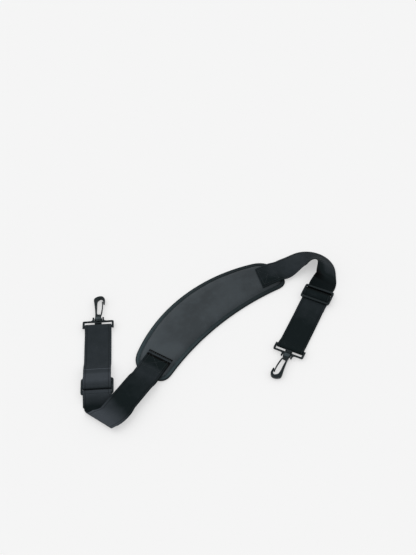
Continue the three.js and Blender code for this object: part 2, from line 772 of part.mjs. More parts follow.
function addSide(side, walk, rampRun, leg) {
  const levels = layerHeights(walk.face);
  const padRun = walk.finishSolid();
  walk.go(rampRun, { height: levels.main, lean: 0, steps: 8 });
  const slack = walk.finishSolid();

  const fromSlider = new THREE.Group();
  fromSlider.position.copy(walk.place).setZ(0).addScaledVector(headed(walk.heading), sliderEnd);
  fromSlider.rotation.z = walk.heading;
  strap.add(fromSlider);
  const fromHook = new THREE.Group();
  fromHook.position.x = leg;
  fromSlider.add(fromHook);

  const legEnd = leg - END_LOOP_RUN - CUT_GAP;
  const legGround = legStart + CUT_GAP + LEG_RAMP_RUN;
  const legLayer = (height, rest) =>
    straightRibbon([...ramp(at(legStart + CUT_GAP, height), at(legGround, rest)), at(legEnd, rest)]);

  add(strap, `${side}_webbing_pad_run`, ribbon(padRun), webbing);
  add(strap, `${side}_webbing_slack`, ribbon(slack), webbing);
  add(fromSlider, `${side}_webbing_over_bar`, overBar(levels), webbing);
  add(fromSlider, `${side}_webbing_outer_leg`, legLayer(levels.main, levels.mainRest), webbing);
  add(fromSlider, `${side}_webbing_return_leg`, legLayer(levels.back, levels.backRest), webbing);
  add(fromSlider, `${side}_webbing_sewn_loop`, sewnLoop(levels), webbing);
  add(fromSlider, `${side}_slider`, slider(), plastic, levels.bars);
  add(fromHook, `${side}_webbing_end_loop`, endLoop(), webbing);
  add(fromHook, `${side}_hook_frame`, hookFrame(), plastic, axisHeight);
  add(fromHook, `${side}_hook`, hook(), plastic, axisHeight);
  add(fromHook, `${side}_hook_gate`, gate(), plastic, axisHeight);
}

addSide("left", leftRoute(), LEFT_RAMP_RUN, LEFT_LEG);
addSide("right", rightRoute(), RIGHT_RAMP_RUN, RIGHT_LEG);

export default strap;
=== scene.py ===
"""A padded shoulder strap lying on a pale floor: a curved pad with a bound edge, and at each end a length of
webbing that runs through a slider to a swivel snap hook and back. Metres, with +Z up and +X along the pad."""

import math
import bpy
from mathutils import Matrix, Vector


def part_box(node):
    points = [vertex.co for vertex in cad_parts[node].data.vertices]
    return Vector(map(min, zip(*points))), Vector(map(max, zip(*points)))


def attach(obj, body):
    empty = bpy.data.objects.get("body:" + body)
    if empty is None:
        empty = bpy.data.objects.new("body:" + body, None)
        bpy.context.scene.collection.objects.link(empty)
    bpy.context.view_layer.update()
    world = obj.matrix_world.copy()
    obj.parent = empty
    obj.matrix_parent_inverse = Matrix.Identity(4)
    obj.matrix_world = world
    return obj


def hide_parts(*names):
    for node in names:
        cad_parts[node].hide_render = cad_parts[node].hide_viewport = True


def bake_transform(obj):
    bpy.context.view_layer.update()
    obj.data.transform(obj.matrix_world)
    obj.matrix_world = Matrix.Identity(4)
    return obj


bl_info = {
    "name": "Padded Shoulder Strap",
    "version": (1, 0, 0),
    "blender": (4, 5, 0),
    "location": "View3D > Sidebar > Strap",
    "description": "Models a padded shoulder strap with webbing, sliders and snap hooks on a packed frame",
    "category": "Object",
}

import bmesh
import bpy
from mathutils import Matrix, Vector

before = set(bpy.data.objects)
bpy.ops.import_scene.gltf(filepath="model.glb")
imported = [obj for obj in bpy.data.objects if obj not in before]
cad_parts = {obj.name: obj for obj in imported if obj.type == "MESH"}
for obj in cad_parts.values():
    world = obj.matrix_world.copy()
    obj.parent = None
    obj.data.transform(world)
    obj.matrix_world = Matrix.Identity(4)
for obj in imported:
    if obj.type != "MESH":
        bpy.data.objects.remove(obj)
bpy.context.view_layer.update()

MM = 0.001
SIDES = ("left", "right")

# The webbing's routes from the pad and the places of the parts on them, in millimetres and degrees
SEWN_OVERLAP = 35
SEWN_ANGLE = 15
SEWN_FALL_RUN = 19
LEFT_EASE = {"length": 12, "turn": -3.085}
LEFT_SPAN = 31.597
LEFT_SLANT = {"length": 17, "ruling": 135.678}
LEFT_ROLL = {"length": 23.047, "turn": -37.83}
LEFT_FOLD = {"crease": 101.331, "radius": 5, "leave": 49.3}
RIGHT_EASE = {"length": 29.6, "turn": 3.2, "height": 2.5, "lean": 17.4}
RIGHT_BEND = {"length": 48.2, "turn": -120.2, "height": 3.5, "lean": 40.4}
RIGHT_SETTLE = {"length": 17, "turn": -5, "lean": 33.4}
RIGHT_STRAIGHTEN = {"length": 9.3, "turn": -23.1, "lean": 21.6}
RAMP_RUN = {"left": 16.5, "right": 11}
LEG_RAMP_RUN = 17
LEG = {"left": 103, "right": 108}
LAYER_GAP = 0.3
CUT_GAP = 0.3

# How much the webbing catches the light, as painted light, at distances along it from its sewn end, in
# millimetres;
# below 0 it is painted shadow. SHINE_LEAN slants that pattern across it, and RIM_SHADE darkens it towards one
# edge, as painted shade, from a share of its half width.
SHINE = {
    "left": (
        (0, -1), (2.5, -1), (3, 0.65), (5, 0.65), (5.6, -0.9), (8.2, -0.9), (9.6, -0.05), (20, -0.02),
        (25, 0.25), (38, 0.28), (50, 0.12), (70, 0.05), (86, -0.05), (94, -0.2), (99, 0), (106, 0.33),
        (114, 0.68), (124, 1.05), (134, 1.25), (140, 0.5), (146, -0.15), (161, -0.25), (166, 0.1),
        (171, 0.35), (176, 0.45), (181, 0.6), (190, 0.8), (206, 0.7), (216, 0.5), (290, 0.42),
    ),
    "right": (
        (0, 0.08), (15, 0.1), (20, 0.18), (26, 0.28), (45, 0.32), (60, 0.42), (76, 0.4), (90, 0.22),
        (100, 0.15), (112, 0.25), (125, 0.42), (136, 0.3), (146, -0.2), (153, -0.4), (166, -0.3),
        (173, -0.7), (180, -0.7), (184, -0.3), (188, 0.05), (194, 0.05), (199, 0.25), (212, 0.2),
        (235, 0.08), (256, -0.1), (290, -0.05),
    ),
}
SHINE_LEAN = {"left": ((84, 0), (96, 13), (112, 13), (134, 0)), "right": ((0, 0), (1, 0))}
RIM_SHADE = {
    "left": (1, 0.86, ((7, 0), (9, 1), (42, 1), (48, 0))),
    "right": (-1, 0.1, ((0, 0.4), (30, 0.35), (46, 0), (108, 0), (120, 0.7), (146, 0.7), (158, 0))),
}
# The left webbing's sewn end is turned under in a hem, which lifts it, in millimetres
HEM = {"length": 5.2, "lift": 0.5}
# The right webbing's sewn end is cut on a slant
RIGHT_END_CUT = {"angle": 13, "run": 24}
# The share of its width by which the left webbing's edge curls in where it rolls over the fold
CORNER_CURL = ((104, 0), (110, 0.03), (120, 0.08), (130, 0.14), (138, 0.13), (144, 0.06), (150, 0.01))
# The distance by which its other edge spreads between the fold and the slider
CORNER_SPREAD = ((0, 0), (7, 1), (12, 2.3), (16, 2.3), (16.7, 0))
# How much the webbing's own end, brought back under the slider, catches the light, at distances from its cut
TAIL_SHINE = ((-30, 0.3), (-18, 1), (-8, 1), (-6, 0.6), (-0.9, 0.6), (-0.6, 2), (0, 2))
# The gap under the strap, the swivel collar's radius, and the loop round the bar of the hook's frame
SURFACE_GAP = 0.1
COLLAR_RADIUS = 3.9
END_LOOP_RUN = 15
END_LOOP_CLEARANCE = 0.5
# How far past the slider the webbing's own end reaches
TAIL_LENGTH = 12


def length_property(name, description, default):
    return bpy.props.FloatProperty(name=name, description=description, default=default, unit="LENGTH")


class StrapSizes(bpy.types.PropertyGroup):
    """Sizes of the pad, the webbing and the stitching."""

    webbing_width: length_property("Webbing Width", "Width of the webbing", 0.038)
    webbing_thickness: length_property("Webbing Thickness", "Thickness of one layer", 0.0012)
    pad_width: length_property("Pad Width", "Width of the pad in its middle", 0.0766)
    pad_half_length: length_property("Pad Half Length", "Half the outer edge, as a straight line", 0.1383)
    pad_thickness: length_property(
        "Pad Thickness", "Height of the pad's top face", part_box("pad_top_cover")[1][2]
    )
    binding_width: length_property("Binding Width", "Width of the bound edge", 0.0062)
    stitch_length: length_property("Stitch Length", "Length of one stitch", 0.0026)
    stitch_width: length_property("Stitch Width", "Thickness of the thread", 0.00055)


def colour_property(name, description, default):
    return bpy.props.FloatVectorProperty(
        name=name, description=description, default=default, subtype="COLOR", size=3, min=0, max=1
    )


class StrapColours(bpy.types.PropertyGroup):
    """Colours of the cloth, the webbing, the thread, the plastic and the floor, as linear values."""

    pad_cloth: colour_property("Pad Cloth", "Smooth cloth of the pad's top", (0.0385, 0.047, 0.0528))
    binding: colour_property("Binding", "Tape round the pad's edge", (0.0085, 0.0125, 0.014))
    backing: colour_property("Backing", "Cloth under the pad", (0.016, 0.019, 0.021))
    webbing: colour_property("Webbing", "Webbing where it is darkest", (0.0065, 0.0115, 0.0128))
    webbing_shine: colour_property("Webbing Shine", "Webbing where it catches light", (0.05, 0.057, 0.067))
    thread: colour_property("Thread", "Sewing thread", (0.019, 0.025, 0.028))
    plastic: colour_property("Plastic", "Moulded sliders and hooks", (0.0024, 0.0034, 0.0039))
    floor: colour_property("Floor", "Pale floor", (0.955, 0.955, 0.955))


# Modelling


def deselect():
    bpy.ops.object.select_all(action="DESELECT")


def pick(obj):
    deselect()
    obj.select_set(True)
    bpy.context.view_layer.objects.active = obj


def set_all(thing, settings):
    for key, value in settings.items():
        setattr(thing, key, value)


def apply_modifiers(obj):
    pick(obj)
    for modifier in list(obj.modifiers):
        bpy.ops.object.modifier_apply(modifier=modifier.name)


def modify(obj, kind, **settings):
    set_all(obj.modifiers.new(kind, kind), settings)
    apply_modifiers(obj)


def in_edit_mode(obj, action):
    pick(obj)
    bpy.ops.object.mode_set(mode="EDIT")
    bpy.ops.mesh.select_all(action="SELECT")
    action()
    bpy.ops.object.mode_set(mode="OBJECT")


def weld(obj):
    in_edit_mode(obj, lambda: bpy.ops.mesh.remove_doubles(threshold=0.00001))


def face_outwards(obj):
    in_edit_mode(obj, lambda: bpy.ops.mesh.normals_make_consistent(inside=False))


def smooth_shaded(obj, degrees):
    pick(obj)
    bpy.ops.object.shade_smooth_by_angle(angle=math.radians(degrees))


def grid_piece(name, columns, rows, place, pattern=None, shine=None):
    """A grid whose points go to place(column, row), with its pattern coordinates in the UV map. A second map
    holds how much each point catches the light."""
    deselect()
    bpy.ops.mesh.primitive_grid_add(x_subdivisions=columns, y_subdivisions=rows, size=2)
    obj = bpy.context.object
    obj.name = obj.data.name = name
    mesh = obj.data
    cells = [(round((v.co.x + 1) / 2 * columns), round((v.co.y + 1) / 2 * rows)) for v in mesh.vertices]
    for vertex, cell in zip(mesh.vertices, cells):
        vertex.co = place(*cell)
    if pattern:
        layer = mesh.uv_layers.active
        for loop in mesh.loops:
            layer.data[loop.index].uv = pattern(*cells[loop.vertex_index])
    if shine:
        second = mesh.uv_layers.new(name="shine")
        for loop in mesh.loops:
            second.data[loop.index].uv = (shine(*cells[loop.vertex_index]), 0.5)
    return obj


# Materials


def arithmetic(operation, swap=False):
    """A method that puts a Math node on a value and what it is given."""

    def method(self, *values):
        inputs = [self, *values][:: -1 if swap else 1]
        return self.recipe.node("ShaderNodeMath", {"operation": operation}, dict(enumerate(inputs))).out(0)

    return method


class Value:
    """A socket in a material, on which arithmetic adds Math nodes."""

    __add__ = __radd__ = arithmetic("ADD")
    __mul__ = arithmetic("MULTIPLY")
    __sub__ = arithmetic("SUBTRACT")
    __rsub__ = arithmetic("SUBTRACT", swap=True)
    sine = arithmetic("SINE")
    size = arithmetic("ABSOLUTE")
    least = arithmetic("MINIMUM")
    most = arithmetic("MAXIMUM")

    def __init__(self, recipe, socket):
        self.recipe = recipe
        self.socket = socket

    def ridges(self, rate):
        """Waves from 0 to 1 along the value, of so many radians to a metre."""
        return (self * rate).sine() * 0.5 + 0.5

    def step(self, low, high):
        """0 below low and 1 above high, with a soft change between them."""
        settings = {"interpolation_type": "SMOOTHSTEP"}
        node = self.recipe.node("ShaderNodeMapRange", settings, {"Value": self, 1: low, 2: high})
        return node.out(0)

    def band(self, start, full, last, end):
        """1 between full and last, and 0 before start and past end."""
        return self.step(start, full) * (1 - self.step(last, end))


class Node:
    """A node in a material."""

    def __init__(self, recipe, node):
        self.recipe = recipe
        self.node = node

    def out(self, key):
        return Value(self.recipe, self.node.outputs[key])


class Recipe:
    """A material built up from nodes."""

    def __init__(self, name):
        self.material = bpy.data.materials.new(name)
        self.material.use_nodes = True
        self.tree = self.material.node_tree
        self.tree.nodes.clear()

    def node(self, kind, settings=None, inputs=None):
        node = self.tree.nodes.new(kind)
        set_all(node, settings or {})
        for key, value in (inputs or {}).items():
            if isinstance(value, Value):
                self.tree.links.new(value.socket, node.inputs[key])
            else:
                node.inputs[key].default_value = value
        return Node(self, node)

    def split(self, kind, output, settings=None):
        """The vector that a node gives, and its three parts."""
        vector = self.node(kind, settings).out(output)
        parts = self.node("ShaderNodeSeparateXYZ", inputs={0: vector})
        return vector, *(parts.out(i) for i in range(3))

    def place(self):
        """The point's place on the object, in metres, as a vector and its three parts."""
        return self.split("ShaderNodeTexCoord", "Object")

    def lay(self):
        """The point's place on laid cloth, in metres, as a vector, along it and across it."""
        return self.split("ShaderNodeTexCoord", "UV")[:3]

    def shine(self):
        """How much the webbing catches the light here, as painted light: 1 where it is lightest, below 0
        painted shadow.
        """
        return self.split("ShaderNodeUVMap", 0, {"uv_map": "shine"})[1]

    def noise(self, vector, scale, detail=2.0, roughness=0.5):
        inputs = {"Vector": vector, "Scale": scale, "Detail": detail, "Roughness": roughness}
        return self.node("ShaderNodeTexNoise", inputs=inputs).out(0)

    def blend(self, factor, one, other):
        """A colour that goes from one to the other as the factor goes from 0 to 1."""
        opaque = [c if isinstance(c, Value) else (*c[:3], 1) for c in (one, other)]
        inputs = {0: factor, 6: opaque[0], 7: opaque[1]}
        return self.node("ShaderNodeMix", {"data_type": "RGBA"}, inputs).out(2)

    def bump(self, height, distance, strength=1.0, after=None):
        inputs = {"Height": height, "Distance": distance, "Strength": strength}
        if after:
            inputs["Normal"] = after
        return self.node("ShaderNodeBump", inputs=inputs).out(0)

    def finish(self, colour, roughness, normal=None, **constants):
        inputs = {"Base Color": colour, "Roughness": roughness}
        if normal:
            inputs["Normal"] = normal
        for key, value in constants.items():
            inputs[key.replace("_", " ")] = value
        shader = self.node("ShaderNodeBsdfPrincipled", inputs=inputs)
        self.node("ShaderNodeOutputMaterial", inputs={"Surface": shader.out(0)})
        return self.material


BLACK = (0.0008, 0.001, 0.0011)
# How closely the ribs, threads and holes of each cloth follow one another, in radians per metre
PAD_THREADS = 7800
BINDING_RIBS = 7000
BINDING_THREADS = 9000
BACKING_HOLES = 1900
WEBBING_RIBS = 5200
THREAD_TWIST = 9000


def lighter(colour, times):
    return tuple(min(1.0, part * times) for part in colour)


def pad_cloth_material(colours):
    recipe = Recipe("smooth_pad_cloth")
    vector, x, y, _ = recipe.place()
    patches = recipe.noise(vector, 26, 3).step(0.34, 0.68)
    wear = recipe.noise(vector, 110, 4, 0.6).step(0.45, 0.75)
    cloth = colours.pad_cloth
    # Painted light: the cloth is painted lighter towards the left end, where the light falls, and a little
    # darker towards the right end.
    right = recipe.blend(x.step(0, 0.15), lighter(cloth, 1.19), lighter(cloth, 0.96))
    painted_light_tone = recipe.blend(x.step(-0.14, -0.01), lighter(cloth, 1.5), right)
    base = recipe.blend((1 - patches) * 0.26, painted_light_tone, BLACK)
    base = recipe.blend(wear * 0.4, base, lighter(cloth, 1.5))
    weave = x.ridges(PAD_THREADS) * y.ridges(PAD_THREADS)
    base = recipe.blend(weave * 0.18, base, lighter(cloth, 0.5))
    normal = recipe.bump(weave, 0.00012, 0.5)
    normal = recipe.bump(recipe.noise(vector, 60, 3), 0.0012, 0.35, normal)
    gloss = {"Specular_IOR_Level": 0.2, "Sheen_Weight": 0.03, "Sheen_Roughness": 0.5}
    return recipe.finish(base, 0.72 + wear * 0.12, normal, **gloss)


def binding_material(colours):
    recipe = Recipe("binding_twill")
    vector, along, across = recipe.lay()
    ribs = along.ridges(BINDING_RIBS)
    threads = across.ridges(BINDING_THREADS)
    patches = recipe.noise(vector, 60, 3)
    _, x, _, _ = recipe.place()
    # Painted light: the binding is painted paler from the top of its rounded edge over its upper face, where
    # light falls, and paler still towards the left end, where the light falls more.
    inside = across.step(0.0080, 0.0108)
    pale = recipe.blend(x.step(-0.17, 0.12), lighter(colours.binding, 5.6), lighter(colours.binding, 1.7))
    base = recipe.blend(inside * (patches * 0.9 + 0.45).least(1), lighter(colours.binding, 0.9), pale)
    base = recipe.blend(ribs * 0.2, base, lighter(colours.binding, 2.4))
    normal = recipe.bump(ribs * 0.8 + threads * 0.2, 0.00018, 0.8)
    return recipe.finish(base, 0.78, normal, Specular_IOR_Level=0.12)


def backing_material(colours):
    recipe = Recipe("backing_mesh")
    vector, x, y, _ = recipe.place()
    holes = (x * BACKING_HOLES).sine() * (y * BACKING_HOLES).sine()
    mesh = holes.step(0.15, 0.6)
    base = recipe.blend(mesh, colours.backing, lighter(colours.backing, 0.35))
    patches = recipe.noise(vector, 45, 3)
    base = recipe.blend(patches * 0.3, base, lighter(colours.backing, 1.6))
    normal = recipe.bump(1 - mesh, 0.0005, 0.7)
    return recipe.finish(base, 0.88, normal, Specular_IOR_Level=0.12)


def webbing_material(colours):
    recipe = Recipe("ribbed_webbing")
    vector, along, across = recipe.lay()
    edge = across.size()
    ribs = along.ridges(WEBBING_RIBS)
    slant = (along + edge * 0.55).ridges(WEBBING_RIBS)
    cords = across.ridges(WEBBING_RIBS)
    weave = slant * 0.6 + cords * 0.25 + ribs * 0.15
    selvedge = edge.band(0.0166, 0.0170, 0.0176, 0.0180)
    shaded_groove = edge.band(0.0150, 0.0154, 0.0158, 0.0162)
    patches = recipe.noise(vector, 70, 3)
    smudges = recipe.noise(vector, 230, 4, 0.7).step(0.52, 0.8)
    shine = recipe.shine()
    # Painted light: the webbing is painted lighter where its shine is high, with random patches and smudges
    # added.
    level = (shine + (patches - 0.5) * 0.3 + smudges * 0.2).most(0)
    base = recipe.blend(level.least(2.0) * 0.5, colours.webbing, lighter(colours.webbing_shine, 2.0))
    base = recipe.blend((1 - weave) * 0.3, base, BLACK)
    base = recipe.blend(selvedge * 0.14, base, colours.webbing_shine)
    # Painted shade: the groove just inside each selvedge is painted darker, as shade in a recess.
    base = recipe.blend(shaded_groove * 0.5, base, BLACK)
    # Painted shadow: where the shine falls below 0 the webbing is painted towards black.
    base = recipe.blend((0 - shine).step(0.1, 0.8), base, BLACK)
    height = weave + selvedge * 0.6 - shaded_groove * 0.9
    normal = recipe.bump(height, 0.00022, 0.8)
    rough = recipe.noise(vector, 400, 2) * 0.12 + 0.66
    return recipe.finish(base, rough, normal, Specular_IOR_Level=0.06)


def thread_material(colours):
    recipe = Recipe("sewing_thread")
    _, x, y, z = recipe.place()
    twist = (x + y + z).ridges(THREAD_TWIST)
    base = recipe.blend(twist, lighter(colours.thread, 0.6), lighter(colours.thread, 1.4))
    return recipe.finish(base, 0.6, recipe.bump(twist, 0.00008, 0.7), Specular_IOR_Level=0.25)


def plastic_material(colours, name="satin_plastic", gloss=0.3):
    recipe = Recipe(name)
    vector, *_ = recipe.place()
    grain = recipe.noise(vector, 2600, 2)
    scuffs = recipe.noise(vector, 190, 4, 0.65).step(0.5, 0.8)
    base = recipe.blend(scuffs * 0.5, colours.plastic, lighter(colours.plastic, 2.0))
    normal = recipe.bump(grain, 0.00006, 0.5)
    tint = (0.72, 0.92, 1, 1)
    return recipe.finish(base, 0.4 + scuffs * 0.12, normal, Specular_IOR_Level=gloss, Specular_Tint=tint)


def rubbed_plastic_material(colours):
    """The plastic where turning has rubbed it shiny."""
    return plastic_material(colours, "rubbed_plastic", 0.85)


def material(name):
    makers = {
        "smooth_pad_cloth": pad_cloth_material,
        "binding_twill": binding_material,
        "backing_mesh": backing_material,
        "ribbed_webbing": webbing_material,
        "sewing_thread": thread_material,
        "satin_plastic": plastic_material,
        "rubbed_plastic": rubbed_plastic_material,
    }
    return bpy.data.materials.get(name) or makers[name](bpy.context.scene.strap_colours)


def dress(obj, name):
    obj.data.materials.clear()
    obj.data.materials.append(material(name))


def finish(obj, degrees, name):
    smooth_shaded(obj, degrees)
    dress(obj, name)


# Pad

# Heights and thicknesses of the pad's layers, in millimetres
BINDING_HEIGHT = 3.4
BINDING_THICKNESS = 0.8
BACKING_SHELL = 0.5
BACKING_LIFT = 0.02
COVER_SHELL = 0.7
# Where the backing begins to come down off the binding, before the binding's inner edge, and over what run
BACKING_EARLY = 0.6
BACKING_EASE = 0.8
# Cells of the backing's and the cover's grids, along and across the pad
BACKING_GRID = 120, 36
COVER_GRID = 128, 38
# How far the backing and the cover stop short of the pad's outline, under the binding
SLAB_INSET = 4
# The run over which the cover rises, as a share of the outline's crown run, and the power that rounds it
CROWN_SPREAD = 1.25
CROWN_POWER = 0.9
# The cloth simulation that swells the cover
SWELL = {
    "vertex_group_mass": "held",
    "use_pressure": True,
    "uniform_pressure_force": 6,
    "quality": 6,
    "tension_stiffness": 40,
    "compression_stiffness": 40,
    "bending_stiffness": 4,
}
# How far past the binding and the sewn webbing the cover is held, in millimetres
SEAM_MARGIN = 1.2
SEWN_MARGIN = 1.5
SWELL_FRAMES = 20
# The most that the cover moves, in millimetres, and the share of that which is kept sideways
SWELL_MOST = 1.3
SWELL_SIDEWAYS = 0.3


class PadOutline:
    """The pad's outline in millimetres: two long arcs and two slanting ends, with rounded corners."""

    end_slant = 8.7
    outer_rise = 40.9
    inner_rise = 20.1
    outer_corner_share = 0.345
    inner_corner_share = 0.385
    crown_share = 0.25
    least_pace = 0.05
    # Shares across and along the pad past which a grid's corners are drawn in
    corner_across, corner_along = 0.36, 0.86

    def __init__(self, sizes, steps=24):
        half = sizes.pad_half_length / MM
        width = sizes.pad_width / MM
        self.outer = Vector((half, width / 2 - self.outer_rise))
        self.inner = Vector((half - self.end_slant, -width / 2 - self.inner_rise))
        self.outer_radius = self.radius(self.outer.x, self.outer_rise)
        self.inner_radius = self.radius(self.inner.x, self.inner_rise)
        self.outer_y = width / 2 - self.outer_radius
        self.inner_y = -width / 2 - self.inner_radius
        self.end_middle = self.outer.lerp(self.inner, 0.5)
        end_length = (self.outer - self.inner).length
        self.outer_reach = end_length * self.outer_corner_share
        self.inner_reach = end_length * self.inner_corner_share
        self.crown_run = min(self.outer_reach, self.inner_reach) * self.crown_share
        self.points = self.trace(steps)

    @staticmethod
    def radius(half, rise):
        return (half**2 + rise**2) / (2 * rise)

    @staticmethod
    def arc(y, radius, x, steps):
        """From the middle of a long edge to x."""
        angles = [math.asin(x / radius) * i / steps for i in range(steps + 1)]
        return [Vector((0, y)) + radius * Vector((math.sin(a), math.cos(a))) for a in angles]

    @staticmethod
    def rounded(start, corner, end, steps):
        shares = [i / steps for i in range(1, steps)]
        middle = [start.lerp(corner, s).lerp(corner.lerp(end, s), s) for s in shares]
        return [start, *middle, end]

    def trace(self, steps):
        """From the middle of the inner edge round the right end, the outer edge and the left end."""
        inner_arc = self.arc(self.inner_y, self.inner_radius, self.inner.x - self.inner_reach, steps)
        outer_arc = self.arc(self.outer_y, self.outer_radius, self.outer.x - self.outer_reach, steps)[::-1]
        inner_high = self.inner.lerp(self.outer, self.inner_corner_share)
        outer_low = self.outer.lerp(self.inner, self.outer_corner_share)
        low_corner = self.rounded(inner_arc[-1], self.inner, inner_high, steps // 2)
        high_corner = self.rounded(outer_low, self.outer, outer_arc[0], steps // 2)
        right = inner_arc + low_corner + high_corner + outer_arc
        kept = []
        for point in right + [Vector((-p.x, p.y)) for p in reversed(right)]:
            if not kept or (point - kept[-1]).length > self.least_pace:
                kept.append(point)
        if (kept[0] - kept[-1]).length < self.least_pace:
            kept.pop()
        return kept

    def sides(self):
        return zip(self.points, self.points[1:] + self.points[:1])

    def ring(self, inset, height):
        ring = []
        for i, (point, after) in enumerate(self.sides()):
            arriving = (point - self.points[i - 1]).normalized()
            leaving = (after - point).normalized()
            along = (arriving + leaving).normalized()
            mitre = inset / along.dot(leaving)
            ring.append(Vector((point.x - along.y * mitre, point.y + along.x * mitre, height)))
        return ring

    def inset_of(self, point):
        """How far a point of the plan lies inside the outline."""
        best = math.inf
        for start, end in self.sides():
            side = end - start
            share = max(0, min(1, (point - start).dot(side) / side.length_squared))
            best = min(best, (start + side * share - point).length)
        return best

    def crescent(self, across, along):
        """The point of the plan at shares from -1 to 1 across and along the pad, its corners drawn in."""
        first, last = self.corner_across, self.corner_along
        a, b = abs(across), abs(along)
        if a > first and b > last:
            p = (a - first) / (1 - first)
            q = (b - last) / (1 - last)
            across = math.copysign(first + (1 - first) * p * math.sqrt(1 - q * q / 2), across)
            along = math.copysign(last + (1 - last) * q * math.sqrt(1 - p * p / 2), along)
        outer_x = self.outer.x * along
        inner_x = self.inner.x * along
        outer = Vector((outer_x, self.outer_y + math.sqrt(self.outer_radius**2 - outer_x**2)))
        inner = Vector((inner_x, self.inner_y + math.sqrt(self.inner_radius**2 - inner_x**2)))
        return inner.lerp(outer, (across + 1) / 2)


def pad_slab(name, outline, columns, rows, height):
    """A grid in the pad's shape, a little drawn in, at the height that each point's inset gives."""
    half_width = bpy.context.scene.strap_sizes.pad_width / MM / 2

    def place(column, row):
        along = (2 * column / columns - 1) * (1 - SLAB_INSET / outline.end_middle.x)
        across = (2 * row / rows - 1) * (1 - SLAB_INSET / half_width)
        point = outline.crescent(across, along)
        return Vector((point.x, point.y, height(outline.inset_of(point)))) * MM

    return grid_piece(name, columns, rows, place)


class STRAP_OT_pad_backing(bpy.types.Operator):
    """Models the cloth under the pad"""

    bl_idname = "strap.pad_backing"
    bl_label = "Pad Backing"

    def execute(self, context):
        sizes = context.scene.strap_sizes
        outline = PadOutline(sizes)
        start = sizes.binding_width / MM + LAYER_GAP
        low = BINDING_THICKNESS + LAYER_GAP

        def height(inset):
            """Over the binding's lower side at the edge, and down to the surface inside it."""
            share = max(0, min(1, (inset - start + BACKING_EARLY) / BACKING_EASE))
            return low * (1 - share) + BACKING_LIFT

        backing = pad_slab("pad_backing_cloth", outline, *BACKING_GRID, height)
        modify(backing, "SOLIDIFY", thickness=BACKING_SHELL * MM, offset=1)
        low_face = min(v.co.z for v in backing.data.vertices)
        for vertex in backing.data.vertices:
            vertex.co.z -= min(low_face, 0)
        finish(backing, 40, "backing_mesh")
        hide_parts("pad_backing")
        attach(backing, "pad")
        return {"FINISHED"}


class STRAP_OT_pad_top(bpy.types.Operator):
    """Models the padded top and lets it swell against its seams"""

    bl_idname = "strap.pad_top"
    bl_label = "Pad Top"

    def execute(self, context):
        sizes = context.scene.strap_sizes
        outline = PadOutline(sizes)
        start = sizes.binding_width / MM + LAYER_GAP
        low = BINDING_HEIGHT - BINDING_THICKNESS - LAYER_GAP
        high = sizes.pad_thickness / MM

        def height(inset):
            """Rises in a crown from under the binding's upper side."""
            share = max(0, min(1, (inset - start) / (outline.crown_run * CROWN_SPREAD)))
            return low + (high - low) * math.sin(share * math.pi / 2) ** CROWN_POWER

        top = pad_slab("pad_top", outline, *COVER_GRID, height)
        self.swell(top, outline, sizes)
        modify(top, "SOLIDIFY", thickness=COVER_SHELL * MM, offset=-1)
        modify(top, "SUBSURF", levels=1)
        finish(top, 60, "smooth_pad_cloth")
        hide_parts("pad_top_cover", "pad_foam_core")
        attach(top, "pad")
        return {"FINISHED"}

    def swell(self, top, outline, sizes):
        """Blows the cloth up a little, held at its seams and under the sewn webbing."""
        rest = [v.co.copy() for v in top.data.vertices]
        group = top.vertex_groups.new(name=SWELL["vertex_group_mass"])
        for vertex in top.data.vertices:
            spot = Vector(vertex.co.xy) / MM
            at_seam = outline.inset_of(spot) < sizes.binding_width / MM + SEAM_MARGIN
            if at_seam or self.is_sewn(spot, sizes, outline):
                group.add([vertex.index], 1, "REPLACE")
        cloth = top.modifiers.new("Cloth", "CLOTH")
        set_all(cloth.settings, SWELL)
        cloth.settings.effector_weights.gravity = 0
        cloth.point_cache.frame_start = 1
        cloth.point_cache.frame_end = SWELL_FRAMES
        scene = bpy.context.scene
        for step in range(1, SWELL_FRAMES + 1):
            scene.frame_set(step)
        apply_modifiers(top)
        scene.frame_set(1)
        most = SWELL_MOST * MM
        for vertex, start in zip(top.data.vertices, rest):
            move = vertex.co - start
            if move.length > most:
                move *= most / move.length
            vertex.co = start + Vector((move.x * SWELL_SIDEWAYS, move.y * SWELL_SIDEWAYS, move.z))

    def is_sewn(self, spot, sizes, outline):
        """Whether a spot of the pad lies under a webbing end or close to one."""
        angle = math.radians(SEWN_ANGLE)
        nearest = -SEWN_OVERLAP - SEWN_MARGIN
        half = sizes.webbing_width / MM / 2 + SEWN_MARGIN
        for way in (-1, 1):
            direction = Vector((way * math.cos(angle), -math.sin(angle)))
            away = spot - Vector((way * outline.end_middle.x, outline.end_middle.y))
            sideways = abs(away.x * direction.y - away.y * direction.x)
            if away.dot(direction) > nearest and sideways < half:
                return True
        return False


def binding_profile(width):
    """Insets and heights round the folded tape's section, starting at its lower inner edge."""
    high = BINDING_HEIGHT
    thick = BINDING_THICKNESS
    turn = [math.radians(a) for a in range(0, 181, 20)]
    outside = [(high / 2 * (1 - math.sin(a)), high / 2 * (1 - math.cos(a))) for a in turn]
    bow = high / 2 - thick
    inside = [(thick + bow * (1 - math.sin(a)), high / 2 + bow * math.cos(a)) for a in turn]
    flat_to = width * 0.6
    lower = [(width, 0.12), (width - 0.3, 0), (flat_to, 0)]
    upper = [(flat_to, high + 0.04), (width - 0.35, high + 0.02), (width, high - 0.2)]
    back = [(width, high - thick + 0.1), (flat_to, high - thick)]
    return [*lower, *outside, *upper, *back, *inside, (flat_to, thick), (width, thick - 0.12)]


def running_length(points):
    """How far along a line of points each lies, in metres."""
    run = [0.0]
    for before, after in zip(points, points[1:]):
        run.append(run[-1] + (after - before).length * MM)
    return run


